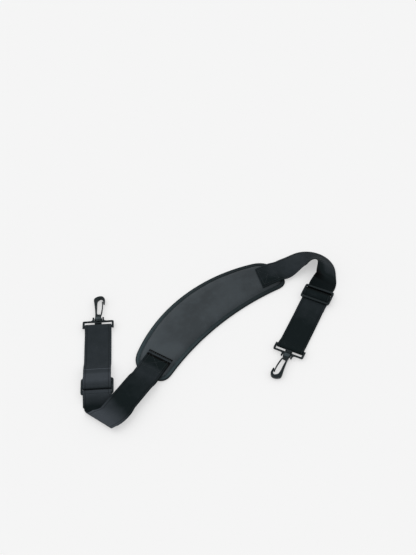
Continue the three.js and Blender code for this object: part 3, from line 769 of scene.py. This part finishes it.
class STRAP_OT_binding(bpy.types.Operator):
    """Models the tape folded round the pad's edge"""

    bl_idname = "strap.binding"
    bl_label = "Edge Binding"

    def execute(self, context):
        sizes = context.scene.strap_sizes
        outline = PadOutline(sizes, 40)
        profile = [Vector(p) for p in binding_profile(sizes.binding_width / MM)]
        rings = [outline.ring(*point) for point in profile]
        columns, rows = len(outline.points), len(profile)
        run = running_length(outline.points + outline.points[:1])
        girth = running_length(profile + profile[:1])
        binding = grid_piece(
            "pad_binding",
            columns,
            rows,
            lambda column, row: rings[row % rows][column % columns] * MM,
            lambda column, row: (run[column], girth[row]),
        )
        weld(binding)
        face_outwards(binding)
        finish(binding, 50, "binding_twill")
        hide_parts("pad_edge_binding")
        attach(binding, "pad")
        return {"FINISHED"}


# Webbing

UP = Vector((0, 0, 1))
WEBBING_ROWS = 16
# The least distance between two rulings, in millimetres
FINEST_PACE = 0.12
# How much of the webbing's thickness its rounded selvedges take up
SELVEDGE_SHARE = 0.38


def smooth(share):
    return share * share * (3 - 2 * share)


def headed(angle):
    return Vector((math.cos(angle), math.sin(angle), 0))


def left_of(angle):
    return headed(angle + math.pi / 2)


def between(keys, run):
    """The value at a run, on straight lines between keys of a run and a value."""
    if run <= keys[0][0]:
        return keys[0][1]
    for (run_0, value_0), (run_1, value_1) in zip(keys, keys[1:]):
        if run <= run_1:
            return value_0 + (value_1 - value_0) * (run - run_0) / (run_1 - run_0)
    return keys[-1][1]


def ramp(start, end, steps=16):
    """A path that leaves one height and comes to another without a bend."""
    shares = [i / steps for i in range(steps + 1)]
    return [(start[0] + (end[0] - start[0]) * s, start[1] + (end[1] - start[1]) * smooth(s)) for s in shares]


def flat(start, end, height, pitch=3.0):
    steps = max(1, round(abs(end - start) / pitch))
    return [(start + (end - start) * i / steps, height) for i in range(steps + 1)]


def squarish(value):
    """Draws a circle's sine or cosine out towards a square's."""
    return math.copysign(abs(value) ** 0.7, value)


def bezier(points, steps=14):
    path = []
    for s in (i / steps for i in range(steps + 1)):
        weights = (1 - s) ** 3, 3 * s * (1 - s) ** 2, 3 * s * s * (1 - s), s**3
        path.append(tuple(sum((Vector(p) * weight for p, weight in zip(points, weights)), Vector((0, 0)))))
    return path


class Ruling:
    """A straight line across the webbing: its middle, the way to its left edge, half its length, and the way
    that the front face looks, in millimetres."""

    def __init__(self, middle, across, half, front):
        self.middle = middle
        self.across = across
        self.half = half
        self.front = front

    def point(self, share, lift=0.0):
        return self.middle + self.across * (self.half * share) + self.front * lift

    def lengthen(self, left=0.0, right=0.0):
        self.middle = self.middle + self.across * ((left - right) / 2)
        self.half += (left + right) / 2


def runs(rulings):
    """How far along the webbing's middle each ruling lies."""
    run = [0.0]
    for before, after in zip(rulings, rulings[1:]):
        run.append(run[-1] + (after.middle - before.middle).length)
    return run


class WebbingWalk:
    """Lays webbing as a walk from the pad outwards. A lean lifts the right edge and leaves the left one."""

    fineness = 3

    def __init__(self, x, y, height, degrees, width):
        self.place = Vector((x, y, height))
        self.heading = math.radians(degrees)
        self.half = width / 2
        self.lean = 0.0
        self.face = 1
        self.rulings = []
        self.lay()

    def lay(self):
        left = left_of(self.heading)
        sine = math.sin(math.radians(self.lean))
        cosine = math.cos(math.radians(self.lean))
        across = left * cosine - UP * sine
        front = left * sine + UP * cosine
        middle = self.place + left * self.half - across * self.half
        self.rulings.append(Ruling(middle, across * self.face, self.half, front * self.face))

    def paces(self, length, turn, steps):
        """Goes on in equal paces and gives the share of the way after each."""
        steps *= self.fineness
        half_turn = math.radians(turn) / steps / 2
        for i in range(1, steps + 1):
            self.heading += half_turn
            self.place = self.place + headed(self.heading) * (length / steps)
            self.heading += half_turn
            yield i / steps

    def leftward(self, degrees):
        """The way of a ruling, turned to the walk's left."""
        across = headed(math.radians(degrees))
        if across.dot(left_of(self.heading)) < 0:
            across.negate()
        return across

    def go(self, length, turn=0.0, height=None, lean=None, steps=1):
        """Goes on level across, but for its lean, and changes height and lean on the way."""
        from_height, from_lean = self.place.z, self.lean
        height = from_height if height is None else height
        lean = from_lean if lean is None else lean
        for pace in self.paces(length, turn, steps):
            share = smooth(pace)
            self.place.z = from_height + (height - from_height) * share
            self.lean = from_lean + (lean - from_lean) * share
            self.lay()

    def slant(self, length, turn, from_ruling, to_ruling, ease, steps):
        """A level stretch whose rulings turn on their own, as webbing's do where it begins to roll over."""
        for pace in self.paces(length, turn, steps):
            across = self.leftward(from_ruling + (to_ruling - from_ruling) * ease(pace))
            half = self.half / across.dot(left_of(self.heading))
            self.rulings.append(Ruling(self.place.copy(), across, half, UP.copy()))

    def fold(self, crease, radius, leave, steps):
        """Folds the webbing down and under about a slanting crease, which turns its front face down."""
        across = self.leftward(crease)
        onward = across.cross(UP)
        leaving = math.radians(leave)
        slants = [headed(a).dot(across) / abs(headed(a).dot(onward)) for a in (self.heading, leaving)]
        start = self.place.copy()
        drift = 0.0
        for i in range(steps + 1):
            share = i / steps
            roll = math.pi * share
            slant = slants[0] + (slants[1] - slants[0]) * share
            drift += radius * math.pi * slant / steps if i else 0
            middle = start + onward * (radius * math.sin(roll)) + across * drift
            middle += UP * (radius * (math.cos(roll) - 1))
            front = UP * math.cos(roll) + onward * math.sin(roll)
            self.rulings.append(Ruling(middle, across, self.half * math.hypot(1, slant), front))
            self.place = middle.copy()
        self.face = -self.face
        self.heading = leaving
        self.place = self.place + headed(leaving) * (self.half * abs(slants[1]) + CUT_GAP)
        self.lay()

    def finish_piece(self):
        """Ends a piece and starts the next one where it ends."""
        laid = self.rulings
        self.rulings = laid[-1:]
        self.go(CUT_GAP)
        return laid


class StrapSide:
    """Where one side's webbing and its parts lie, in millimetres."""

    slider_end = 13
    slider_bar = 3.8
    slider_room = 0.45
    centre_bar = 2.5
    bar_thickness = 3

    def __init__(self, side, sizes):
        self.side = side
        self.width = sizes.webbing_width / MM
        self.thick = sizes.webbing_thickness / MM
        self.layer = self.thick + LAYER_GAP
        self.lower = SURFACE_GAP + self.thick / 2
        self.upper = self.lower + self.layer
        self.over_loop = (self.bar_thickness + self.thick) / 2 + LAYER_GAP
        self.crest = self.over_loop + self.layer
        walk = self.left_walk(sizes) if side == "left" else self.right_walk(sizes)
        self.face = walk.face
        self.heading = walk.heading
        self.bars = self.lower + (self.over_loop + 2 * self.layer if self.face > 0 else self.crest)
        self.main, self.back, self.tail = (self.level(-self.over_loop - i * self.layer) for i in range(3))
        self.pad_run = walk.finish_piece()
        if side == "left":
            self.raise_hem()
            self.curl_corner()
        else:
            self.cut_end()
        walk.go(RAMP_RUN[side], height=self.main, lean=0, steps=8)
        self.slack = walk.finish_piece()
        if side == "left":
            self.spread_corner()
        self.slider = walk.place + headed(self.heading) * self.slider_end
        self.slider.z = 0
        self.bar_axis = self.slider + headed(self.heading) * LEG[side]
        self.tail_end = self.slider_end + TAIL_LENGTH
        self.leg_start = self.tail_end + self.layer
        self.leg_end = LEG[side] - END_LOOP_RUN - CUT_GAP / 2

    def off_the_pad(self, sizes, way, height):
        """Starts at the sewn end and falls from the pad's top to a height past its edge."""
        outline = PadOutline(sizes, 8)
        back = headed(math.radians(-SEWN_ANGLE)) * -SEWN_OVERLAP
        top = sizes.pad_thickness / MM + LAYER_GAP + self.thick / 2
        degrees = -SEWN_ANGLE if way > 0 else 180 + SEWN_ANGLE
        x = way * (outline.end_middle.x + back.x)
        walk = WebbingWalk(x, outline.end_middle.y + back.y, top, degrees, self.width)
        clear = sizes.binding_width / MM + LAYER_GAP
        walk.go(SEWN_OVERLAP - clear - outline.crown_run, steps=14)
        walk.go(SEWN_FALL_RUN, height=height, steps=6)
        return walk

    def over_binding(self):
        return BINDING_HEIGHT + LAYER_GAP + self.thick / 2

    def left_walk(self, sizes):
        crease, fold_top = LEFT_FOLD["crease"], self.lower + 2 * LEFT_FOLD["radius"]
        walk = self.off_the_pad(sizes, -1, (self.over_binding() + fold_top) / 2)
        walk.go(**LEFT_EASE, height=fold_top, steps=4)
        walk.go(LEFT_SPAN, steps=4)
        square = math.degrees(walk.heading) - 90
        walk.slant(LEFT_SLANT["length"], 0, square, LEFT_SLANT["ruling"], smooth, 4)
        walk.slant(LEFT_ROLL["length"], LEFT_ROLL["turn"], LEFT_SLANT["ruling"], crease, float, 6)
        walk.fold(**LEFT_FOLD, steps=24)
        return walk

    def right_walk(self, sizes):
        walk = self.off_the_pad(sizes, 1, self.over_binding())
        walk.go(**RIGHT_EASE, steps=8)
        walk.go(**RIGHT_BEND, steps=16)
        walk.go(**RIGHT_SETTLE, height=self.lower, steps=4)
        walk.go(**RIGHT_STRAIGHTEN, steps=4)
        return walk

    def raise_hem(self):
        """Lifts the sewn end, which is folded under itself."""
        for ruling, run in zip(self.pad_run, runs(self.pad_run)):
            if run < HEM["length"]:
                ruling.middle.z += HEM["lift"]

    def cut_end(self):
        """Slants the sewn end, the left edge forwards."""
        for ruling, run in zip(self.pad_run, runs(self.pad_run)):
            angle = math.radians(RIGHT_END_CUT["angle"] * max(0, 1 - run / RIGHT_END_CUT["run"]))
            ruling.across = Matrix.Rotation(-angle, 3, "Z") @ ruling.across
            ruling.half /= math.cos(angle)

    def curl_corner(self):
        """Draws the right-hand edge in at the fold."""
        for ruling, run in zip(self.pad_run[:-1], runs(self.pad_run)):
            ruling.lengthen(right=-2 * ruling.half * between(CORNER_CURL, run))

    def spread_corner(self):
        """Lets the left-hand edge out beside the fold's inner corner, where the webbing is pressed flat."""
        for ruling, run in zip(self.slack, runs(self.slack)):
            ruling.lengthen(left=between(CORNER_SPREAD, run))

    def level(self, offset):
        """A height at the slider, from the middle of its bars to the webbing's front."""
        return self.bars + self.face * offset

    def straight(self, points, origin=None):
        """Rulings over a path drawn from the side, x along the strap from the slider and y up. The webbing
        fills the slider's width."""
        fills = self.slider_room if origin is None else 0
        origin = origin or self.slider
        path = [points[0]]
        for point in points[1:]:
            if math.dist(point, path[-1]) > FINEST_PACE:
                path.append(point)
        forward = headed(self.heading)
        rulings = []
        for i, (x, z) in enumerate(path):
            before, after = path[max(i - 1, 0)], path[min(i + 1, len(path) - 1)]
            along = Vector((after[0] - before[0], after[1] - before[1])).normalized()
            front = UP * along.x - forward * along.y
            middle = origin + forward * x + UP * z
            spread = fills * between(((self.slider_end - 3, 1), (self.slider_end, 0)), abs(x))
            rulings.append(Ruling(middle, left_of(self.heading), self.width / 2 + spread, front))
        return rulings

    def over_bar(self):
        """From the pad's side up over the slider's centre bar and down again."""
        slot_end = self.slider_end - self.slider_bar
        crest, half = self.level(self.crest), self.centre_bar * 0.9
        return [
            *flat(-self.slider_end, -slot_end, self.main, 1),
            *ramp((-slot_end, self.main), (-half, crest))[1:],
            *ramp((half, crest), (slot_end, self.main)),
            *flat(slot_end, self.leg_start, self.main, 2)[1:],
        ]

    def leg(self, height, rest):
        """One of the two layers between the slider and the hook."""
        far = self.leg_start + CUT_GAP + LEG_RAMP_RUN
        return ramp((self.leg_start, height), (far, rest), 20) + flat(far, self.leg_end, rest)[1:]

    def sewn_loop(self):
        """The webbing's own end, from the hook over the centre bar and back under itself."""
        back, tail = self.back, self.tail
        leave = self.slider_end - self.slider_bar - LAYER_GAP
        reach = self.centre_bar + 2 * LAYER_GAP + self.thick / 2
        rise = self.face * self.over_loop
        turn = [math.radians(a) for a in range(12, 270, 12)]
        bend = self.level(-self.layer)
        up = ((leave, back), ((leave + reach) / 2, back), (reach, bend), (reach, self.bars))
        foot = self.bars - rise
        down = ((0, foot), (reach / 2, foot), (self.centre_bar + LAYER_GAP, tail), (leave, tail))
        return [
            *flat(self.leg_start, leave, back, 2),
            *bezier(up)[1:],
            *[(reach * squarish(math.cos(a)), self.bars + rise * squarish(math.sin(a))) for a in turn],
            *bezier(down),
            *flat(leave, self.tail_end - 1, tail, 2)[1:],
            (self.tail_end - 0.7, tail),
            (self.tail_end, tail),
        ]

    def end_loop(self):
        """Round the bar of the hook's frame, from the upper layer to the lower one."""
        radius = self.bar_thickness / 2 + END_LOOP_CLEARANCE + self.thick / 2
        height = SURFACE_GAP + COLLAR_RADIUS
        turn = [math.radians(a) for a in range(90, -91, -12)]
        rise = [(radius * math.cos(a), height + radius * math.sin(a)) for a in turn]
        back = END_LOOP_RUN + CUT_GAP / 2
        upper, lower = ramp((-back, self.upper), rise[0], 14), ramp((-back, self.lower), rise[-1], 14)
        return [*upper, *rise[1:-1], *reversed(lower)]


def side_shine(side):
    """How much a side's webbing catches the light at a run and a share of its half width."""
    rim_side, rim_start, rim = RIM_SHADE[side]

    def shine(run, share):
        level = between(SHINE[side], run - between(SHINE_LEAN[side], run) * share)
        return level - between(rim, run) * max(0, (share * rim_side - rim_start) / (1 - rim_start))

    return shine


def webbing_piece(side, name, node, rulings, shine, start=0.0):
    """Webbing over its rulings, with its selvedges rounded off, and the run at its end."""
    sizes = bpy.context.scene.strap_sizes
    run = [start + length * MM for length in runs(rulings)]

    def share(row):
        return 2 * row / WEBBING_ROWS - 1

    piece = grid_piece(
        f"{side}_webbing_{name}",
        len(rulings) - 1,
        WEBBING_ROWS,
        lambda column, row: rulings[column].point(share(row)) * MM,
        lambda column, row: (run[column], share(row) * sizes.webbing_width / 2),
        lambda column, row: shine(run[column] / MM, share(row)),
    )
    group = piece.vertex_groups.new(name="selvedge")
    edge = [ruling.point(end) * MM for ruling in rulings for end in (-1, 1)]
    marks = {tuple(round(c, 6) for c in point) for point in edge}
    rim = [v.index for v in piece.data.vertices if tuple(round(c, 6) for c in v.co) in marks]
    group.add(rim, 1, "REPLACE")
    modify(piece, "SOLIDIFY", thickness=sizes.webbing_thickness, offset=0)
    round_selvedges(piece, sizes.webbing_thickness)
    finish(piece, 50, "ribbed_webbing")
    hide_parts(f"{side}_webbing_{node}")
    return piece, run[-1]


def round_selvedges(piece, thickness):
    """Bevels the long edges of a webbing piece."""
    index = piece.vertex_groups["selvedge"].index
    rim = {v.index for v in piece.data.vertices if any(g.group == index for g in v.groups)}
    pick(piece)
    bpy.ops.object.mode_set(mode="EDIT")
    bpy.ops.mesh.select_mode(type="EDGE")
    bpy.ops.mesh.select_all(action="DESELECT")
    shape = bmesh.from_edit_mesh(piece.data)
    for edge in shape.edges:
        ends = {v.index for v in edge.verts}
        if not ends <= rim or len(edge.link_faces) != 2:
            continue
        if abs(edge.calc_length() - thickness) < 0.02 * MM:
            continue
        if edge.calc_face_angle() > math.radians(50):
            edge.select_set(True)
    bmesh.update_edit_mesh(piece.data)
    bpy.ops.mesh.bevel(offset=thickness * SELVEDGE_SHARE, segments=3, profile=0.5, affect="EDGES")
    bpy.ops.object.mode_set(mode="OBJECT")
    piece.vertex_groups.clear()


class STRAP_OT_webbing(bpy.types.Operator):
    """Models both sides' webbing, from the pad through the slider and round the hook's frame"""

    bl_idname = "strap.webbing"
    bl_label = "Webbing"

    def execute(self, context):
        for side in SIDES:
            self.lay_side(StrapSide(side, context.scene.strap_sizes))
        return {"FINISHED"}

    def lay_side(self, s):
        side, shine = s.side, side_shine(s.side)
        slider, end = f"{side}_slider", f"{side}_end"
        along = headed(s.heading)
        piece, run = webbing_piece(side, "from_pad", "pad_run", s.pad_run, shine)
        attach(piece, "pad")

        piece, run = webbing_piece(side, "to_slider", "slack", s.slack, shine, run)
        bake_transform(piece)

        piece, run = webbing_piece(side, "across_bar", "over_bar", s.straight(s.over_bar()), shine, run)
        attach(piece, slider)

        rests = (s.upper, s.lower) if s.face > 0 else (s.lower, s.upper)
        for name, height, rest in (("outer_leg", s.main, rests[0]), ("return_leg", s.back, rests[1])):
            rulings = s.straight(s.leg(height, rest))
            piece, leg_run = webbing_piece(side, f"{name}_layer", name, rulings, shine, run)
            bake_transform(piece)

        rulings = s.straight(s.end_loop(), s.bar_axis)
        piece, _ = webbing_piece(side, "round_frame", "end_loop", rulings, shine, leg_run)
        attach(piece, end)

        path = s.sewn_loop()
        total = sum(math.dist(a, b) for a, b in zip(path, path[1:]))
        tail = [(total + back, value) for back, value in TAIL_SHINE]
        rulings = s.straight(path)
        piece, _ = webbing_piece(side, "round_bar", "sewn_loop", rulings, lambda run, _: between(tail, run))
        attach(piece, slider)


# Stitching

# The binding's rows of stitches: how far in they lie, how far apart the stitches are, and each row's height
BINDING_ROW_INSET = 1.5
BINDING_PITCH = 3.6
BINDING_ROWS = (("top", BINDING_HEIGHT + 0.1, UP), ("underside", 0.16, -UP))
# How many straight steps follow each seam over the webbing
SEAM_STEPS = 24
# The box through the webbing's sewn end, from low to high along it, and the bar of close rows at the left one
BOX = {"low": 3.2, "high": 27.0, "half": 14.5}
BOX_PITCH = 3.1
BAR = {"rows": 3, "start": 1.7, "gap": 0.7, "half": 17.2}
STITCH_LIFT = 0.05
# The power that draws a round bead out towards a rod
BEAD_SQUARENESS = 0.6


def stitch_shape(length, width):
    """One stitch of thread along X, a rounded bead drawn out along the seam."""
    deselect()
    bpy.ops.mesh.primitive_uv_sphere_add(segments=8, ring_count=6, radius=1)
    bead = bpy.context.object
    shape = []
    for x, y, z in (v.co for v in bead.data.vertices):
        shape.append(Vector((math.copysign(abs(z) ** BEAD_SQUARENESS, z) * length, x * width, y * width)) / 2)
    faces = [tuple(f.vertices) for f in bead.data.polygons]
    bpy.data.objects.remove(bead)
    return shape, faces


def sewn(name, places, sizes):
    """Copies of the stitch on the pad, at places that each hold a point, the seam's way and the way up."""
    shape, faces = stitch_shape(sizes.stitch_length, sizes.stitch_width)
    points, made = [], []
    for point, along, up in places:
        along = along.normalized()
        side = up.cross(along).normalized()
        turn = Matrix((along, side, along.cross(side))).transposed()
        first = len(points)
        points += [point * MM + turn @ corner for corner in shape]
        made += [tuple(first + i for i in face) for face in faces]
    mesh = bpy.data.meshes.new(name)
    mesh.from_pydata(points, [], made)
    row = bpy.data.objects.new(name, mesh)
    bpy.context.scene.collection.objects.link(row)
    face_outwards(row)
    finish(row, 80, "sewing_thread")
    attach(row, "pad")


def spaced(points, pitch, up):
    """Evenly spaced places along a line of points, each with the way along it and the way up."""
    steps = list(zip(points, points[1:]))
    total = sum((b - a).length for a, b in steps)
    count = max(1, round(total / pitch))
    gap = total / count
    places = []
    goal, run = gap / 2, 0.0
    for a, b in steps:
        length = (b - a).length
        while goal <= run + length and length > 0 and len(places) < count:
            places.append((a.lerp(b, (goal - run) / length), b - a, up))
            goal += gap
        run += length
    return places


def on_webbing(s, along, across):
    """The point on the sewn webbing's front face at a distance along it and across it."""
    run = runs(s.pad_run)
    i = next(i for i in range(1, len(run)) if run[i] >= along)
    share = (along - run[i - 1]) / (run[i] - run[i - 1])
    spot = across / s.width * 2, s.thick / 2 + STITCH_LIFT
    return s.pad_run[i - 1].point(*spot).lerp(s.pad_run[i].point(*spot), share)


class STRAP_OT_stitching(bpy.types.Operator):
    """Sews the binding's row of stitches and the webbing's boxes"""

    bl_idname = "strap.stitching"
    bl_label = "Stitching"

    def execute(self, context):
        sizes = context.scene.strap_sizes
        outline = PadOutline(sizes)
        for name, height, up in BINDING_ROWS:
            ring = outline.ring(sizes.binding_width / MM - BINDING_ROW_INSET, height)
            sewn(f"binding_stitches_{name}", spaced(ring + ring[:1], BINDING_PITCH, up), sizes)
        for side in SIDES:
            sewn(f"{side}_box_stitches", self.box(StrapSide(side, sizes)), sizes)
        return {"FINISHED"}

    def box(self, s):
        """A box with a cross in it through the webbing's sewn end, and on the left a bar before it."""
        low, high, half = BOX.values()
        corners = [(low, -half), (low, half), (high, half), (high, -half), (low, -half)]
        lines = list(zip(corners, corners[1:])) + [((low, -half), (high, half)), ((low, half), (high, -half))]
        if s.side == "left":
            rows = [BAR["start"] + i * BAR["gap"] for i in range(BAR["rows"])]
            lines += [((row, -BAR["half"]), (row, BAR["half"])) for row in rows]
        places = []
        for start, end in lines:
            spots = [Vector(start).lerp(Vector(end), i / SEAM_STEPS) for i in range(SEAM_STEPS + 1)]
            places += spaced([on_webbing(s, *spot) for spot in spots], BOX_PITCH, UP)
        return places


# Sliders and hooks

# The boss's profile: distances along the swivel from the frame's bar, and half widths
BOSS_PROFILE = (
    (10.8, 4.9), (11.3, 5.6), (13.2, 5.65), (13.5, 5.1), (13.9, 5.1), (14.3, 5.3), (15.6, 4.9), (16.3, 4.1),
)
BOSS_FLATNESS = 0.67
BOSS_EDGE = 0.12


class STRAP_OT_hardware(bpy.types.Operator):
    """Finishes the sliders, the hook frames, the hooks and their gates in moulded plastic"""

    bl_idname = "strap.hardware"
    bl_label = "Sliders and Hooks"

    def execute(self, context):
        for side in SIDES:
            for part in ("slider", "hook_frame", "hook", "hook_gate"):
                dress(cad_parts[f"{side}_{part}"], "satin_plastic")
        return {"FINISHED"}


class STRAP_OT_swivel_bosses(bpy.types.Operator):
    """Turns the boss at each hook's foot, which fills the room between its frame's prongs"""

    bl_idname = "strap.swivel_bosses"
    bl_label = "Swivel Bosses"

    def execute(self, context):
        for side in SIDES:
            s = StrapSide(side, context.scene.strap_sizes)
            boss = self.turned(f"{side}_swivel_boss")
            axes = Matrix((left_of(s.heading), UP * BOSS_FLATNESS, headed(s.heading))).transposed()
            foot = Matrix.Translation((s.bar_axis + UP * (SURFACE_GAP + COLLAR_RADIUS)) * MM)
            boss.data.transform(foot @ axes.to_4x4())
            face_outwards(boss)
            modify(boss, "BEVEL", width=BOSS_EDGE * MM, segments=2)
            finish(boss, 35, "rubbed_plastic")
            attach(boss, f"{side}_hook")
        return {"FINISHED"}

    def turned(self, name):
        """A round shape drawn up from a disc, one step of the profile after another."""
        foot, radius = BOSS_PROFILE[0]
        deselect()
        bpy.ops.mesh.primitive_circle_add(vertices=32, radius=radius * MM, fill_type="NGON")
        boss = bpy.context.object
        boss.name = boss.data.name = name
        bpy.ops.transform.translate(value=(0, 0, foot * MM))
        bpy.ops.object.transform_apply(location=True)
        bpy.ops.object.mode_set(mode="EDIT")
        bpy.ops.mesh.select_mode(type="FACE")
        bpy.ops.mesh.select_all(action="SELECT")
        for (start, width), (end, new_width) in zip(BOSS_PROFILE, BOSS_PROFILE[1:]):
            bpy.ops.mesh.extrude_region_move(TRANSFORM_OT_translate={"value": (0, 0, (end - start) * MM)})
            bpy.ops.transform.resize(value=(new_width / width, new_width / width, 1))
        bpy.ops.object.mode_set(mode="OBJECT")
        return boss


# Stage

FLOOR_SIZE = 30
FLOOR_DROP = 0.0002
# How much of the floor's own colour the camera sees in place of light, and that colour's level
FLOOR_GLOW_SHARE = 0.5
FLOOR_GLOW = 0.913
SKY_STRENGTH = 0.76
# Each lamp's name, the way to it, its strength, and the width of the patch of sky that it fills, in degrees
LAMPS = (("key", (-0.5, 0.9, 1.5), 0.55, 70), ("fill", (0.9, -0.6, 1.6), 0.2, 80))
CAMERA_PLACE = (-0.542, -0.559, 0.973)
CAMERA_LOOKS = (0.4613, 0.4646, -0.7559)
CAMERA_UP = (0.5326, 0.5364, 0.6547)
CAMERA_LENS = 55
CAMERA_SENSOR = 36


class STRAP_OT_stage(bpy.types.Operator):
    """Sets the floor, the light and the camera"""

    bl_idname = "strap.stage"
    bl_label = "Floor, Light and Camera"

    def execute(self, context):
        scene = context.scene
        scene.view_settings.view_transform = "Standard"
        self.floor(scene.strap_colours)
        self.light(scene)
        self.camera(scene)
        return {"FINISHED"}

    def floor(self, colours):
        deselect()
        bpy.ops.mesh.primitive_plane_add(size=FLOOR_SIZE, location=(0, 0, -FLOOR_DROP))
        floor = bpy.context.object
        floor.name = "floor"
        recipe = Recipe("pale_floor")
        vector, *_ = recipe.place()
        speck = recipe.noise(vector, 300, 2)
        base = recipe.blend(speck, lighter(colours.floor, 0.995), lighter(colours.floor, 1.005))
        inputs = {"Base Color": base, "Roughness": 0.95, "Specular IOR Level": 0.0}
        lit = recipe.node("ShaderNodeBsdfPrincipled", inputs=inputs).out(0)
        glow = {"Color": (FLOOR_GLOW, FLOOR_GLOW, FLOOR_GLOW, 1), "Strength": 1.0}
        pale = recipe.node("ShaderNodeEmission", inputs=glow).out(0)
        path = recipe.node("ShaderNodeLightPath")
        seen = path.out("Is Camera Ray") + path.out("Is Glossy Ray") + path.out("Is Transmission Ray")
        share = seen.least(1) * FLOOR_GLOW_SHARE
        mixed = recipe.node("ShaderNodeMixShader", inputs={0: share, 1: lit, 2: pale})
        recipe.node("ShaderNodeOutputMaterial", inputs={"Surface": mixed.out(0)})
        floor.data.materials.append(recipe.material)

    def light(self, scene):
        """Even light from all round, and a little more from wide patches of the sky."""
        world = bpy.data.worlds.new("soft_light")
        world.use_nodes = True
        background = world.node_tree.nodes["Background"]
        background.inputs["Color"].default_value = (1, 1, 1, 1)
        background.inputs["Strength"].default_value = SKY_STRENGTH
        scene.world = world
        for name, way, strength, spread in LAMPS:
            data = bpy.data.lights.new(name, "SUN")
            data.energy = strength
            data.angle = math.radians(spread)
            lamp = bpy.data.objects.new(name, data)
            lamp.rotation_euler = (-Vector(way)).to_track_quat("-Z", "Y").to_euler()
            scene.collection.objects.link(lamp)

    def camera(self, scene):
        data = bpy.data.cameras.new("camera")
        data.lens = CAMERA_LENS
        data.sensor_width = CAMERA_SENSOR
        camera = bpy.data.objects.new("camera", data)
        back = -Vector(CAMERA_LOOKS).normalized()
        side = Vector(CAMERA_UP).normalized().cross(back).normalized()
        axes = Matrix((side, back.cross(side), back)).transposed()
        camera.matrix_world = Matrix.Translation(CAMERA_PLACE) @ axes.to_4x4()
        scene.collection.objects.link(camera)
        scene.camera = camera


OPERATORS = (
    STRAP_OT_pad_backing,
    STRAP_OT_pad_top,
    STRAP_OT_binding,
    STRAP_OT_webbing,
    STRAP_OT_stitching,
    STRAP_OT_hardware,
    STRAP_OT_swivel_bosses,
    STRAP_OT_stage,
)


class STRAP_PT_panel(bpy.types.Panel):
    """Lists the strap's sizes and colours, and its pieces in the order they are made"""

    bl_label = "Padded Shoulder Strap"
    bl_idname = "STRAP_PT_panel"
    bl_space_type = "VIEW_3D"
    bl_region_type = "UI"
    bl_category = "Strap"

    def draw(self, context):
        for group in (context.scene.strap_sizes, context.scene.strap_colours):
            box = self.layout.box()
            for name in group.bl_rna.properties.keys():
                if name not in {"rna_type", "name"}:
                    box.prop(group, name)
        for operator in OPERATORS:
            self.layout.operator(operator.bl_idname)


CLASSES = (StrapSizes, StrapColours, *OPERATORS, STRAP_PT_panel)


def register():
    for cls in CLASSES:
        bpy.utils.register_class(cls)
    bpy.types.Scene.strap_sizes = bpy.props.PointerProperty(type=StrapSizes)
    bpy.types.Scene.strap_colours = bpy.props.PointerProperty(type=StrapColours)


def unregister():
    del bpy.types.Scene.strap_colours
    del bpy.types.Scene.strap_sizes
    for cls in reversed(CLASSES):
        bpy.utils.unregister_class(cls)


def main():
    register()
    for operator in OPERATORS:
        group, name = operator.bl_idname.split(".")
        getattr(getattr(bpy.ops, group), name)()


if __name__ == "__main__":
    main()
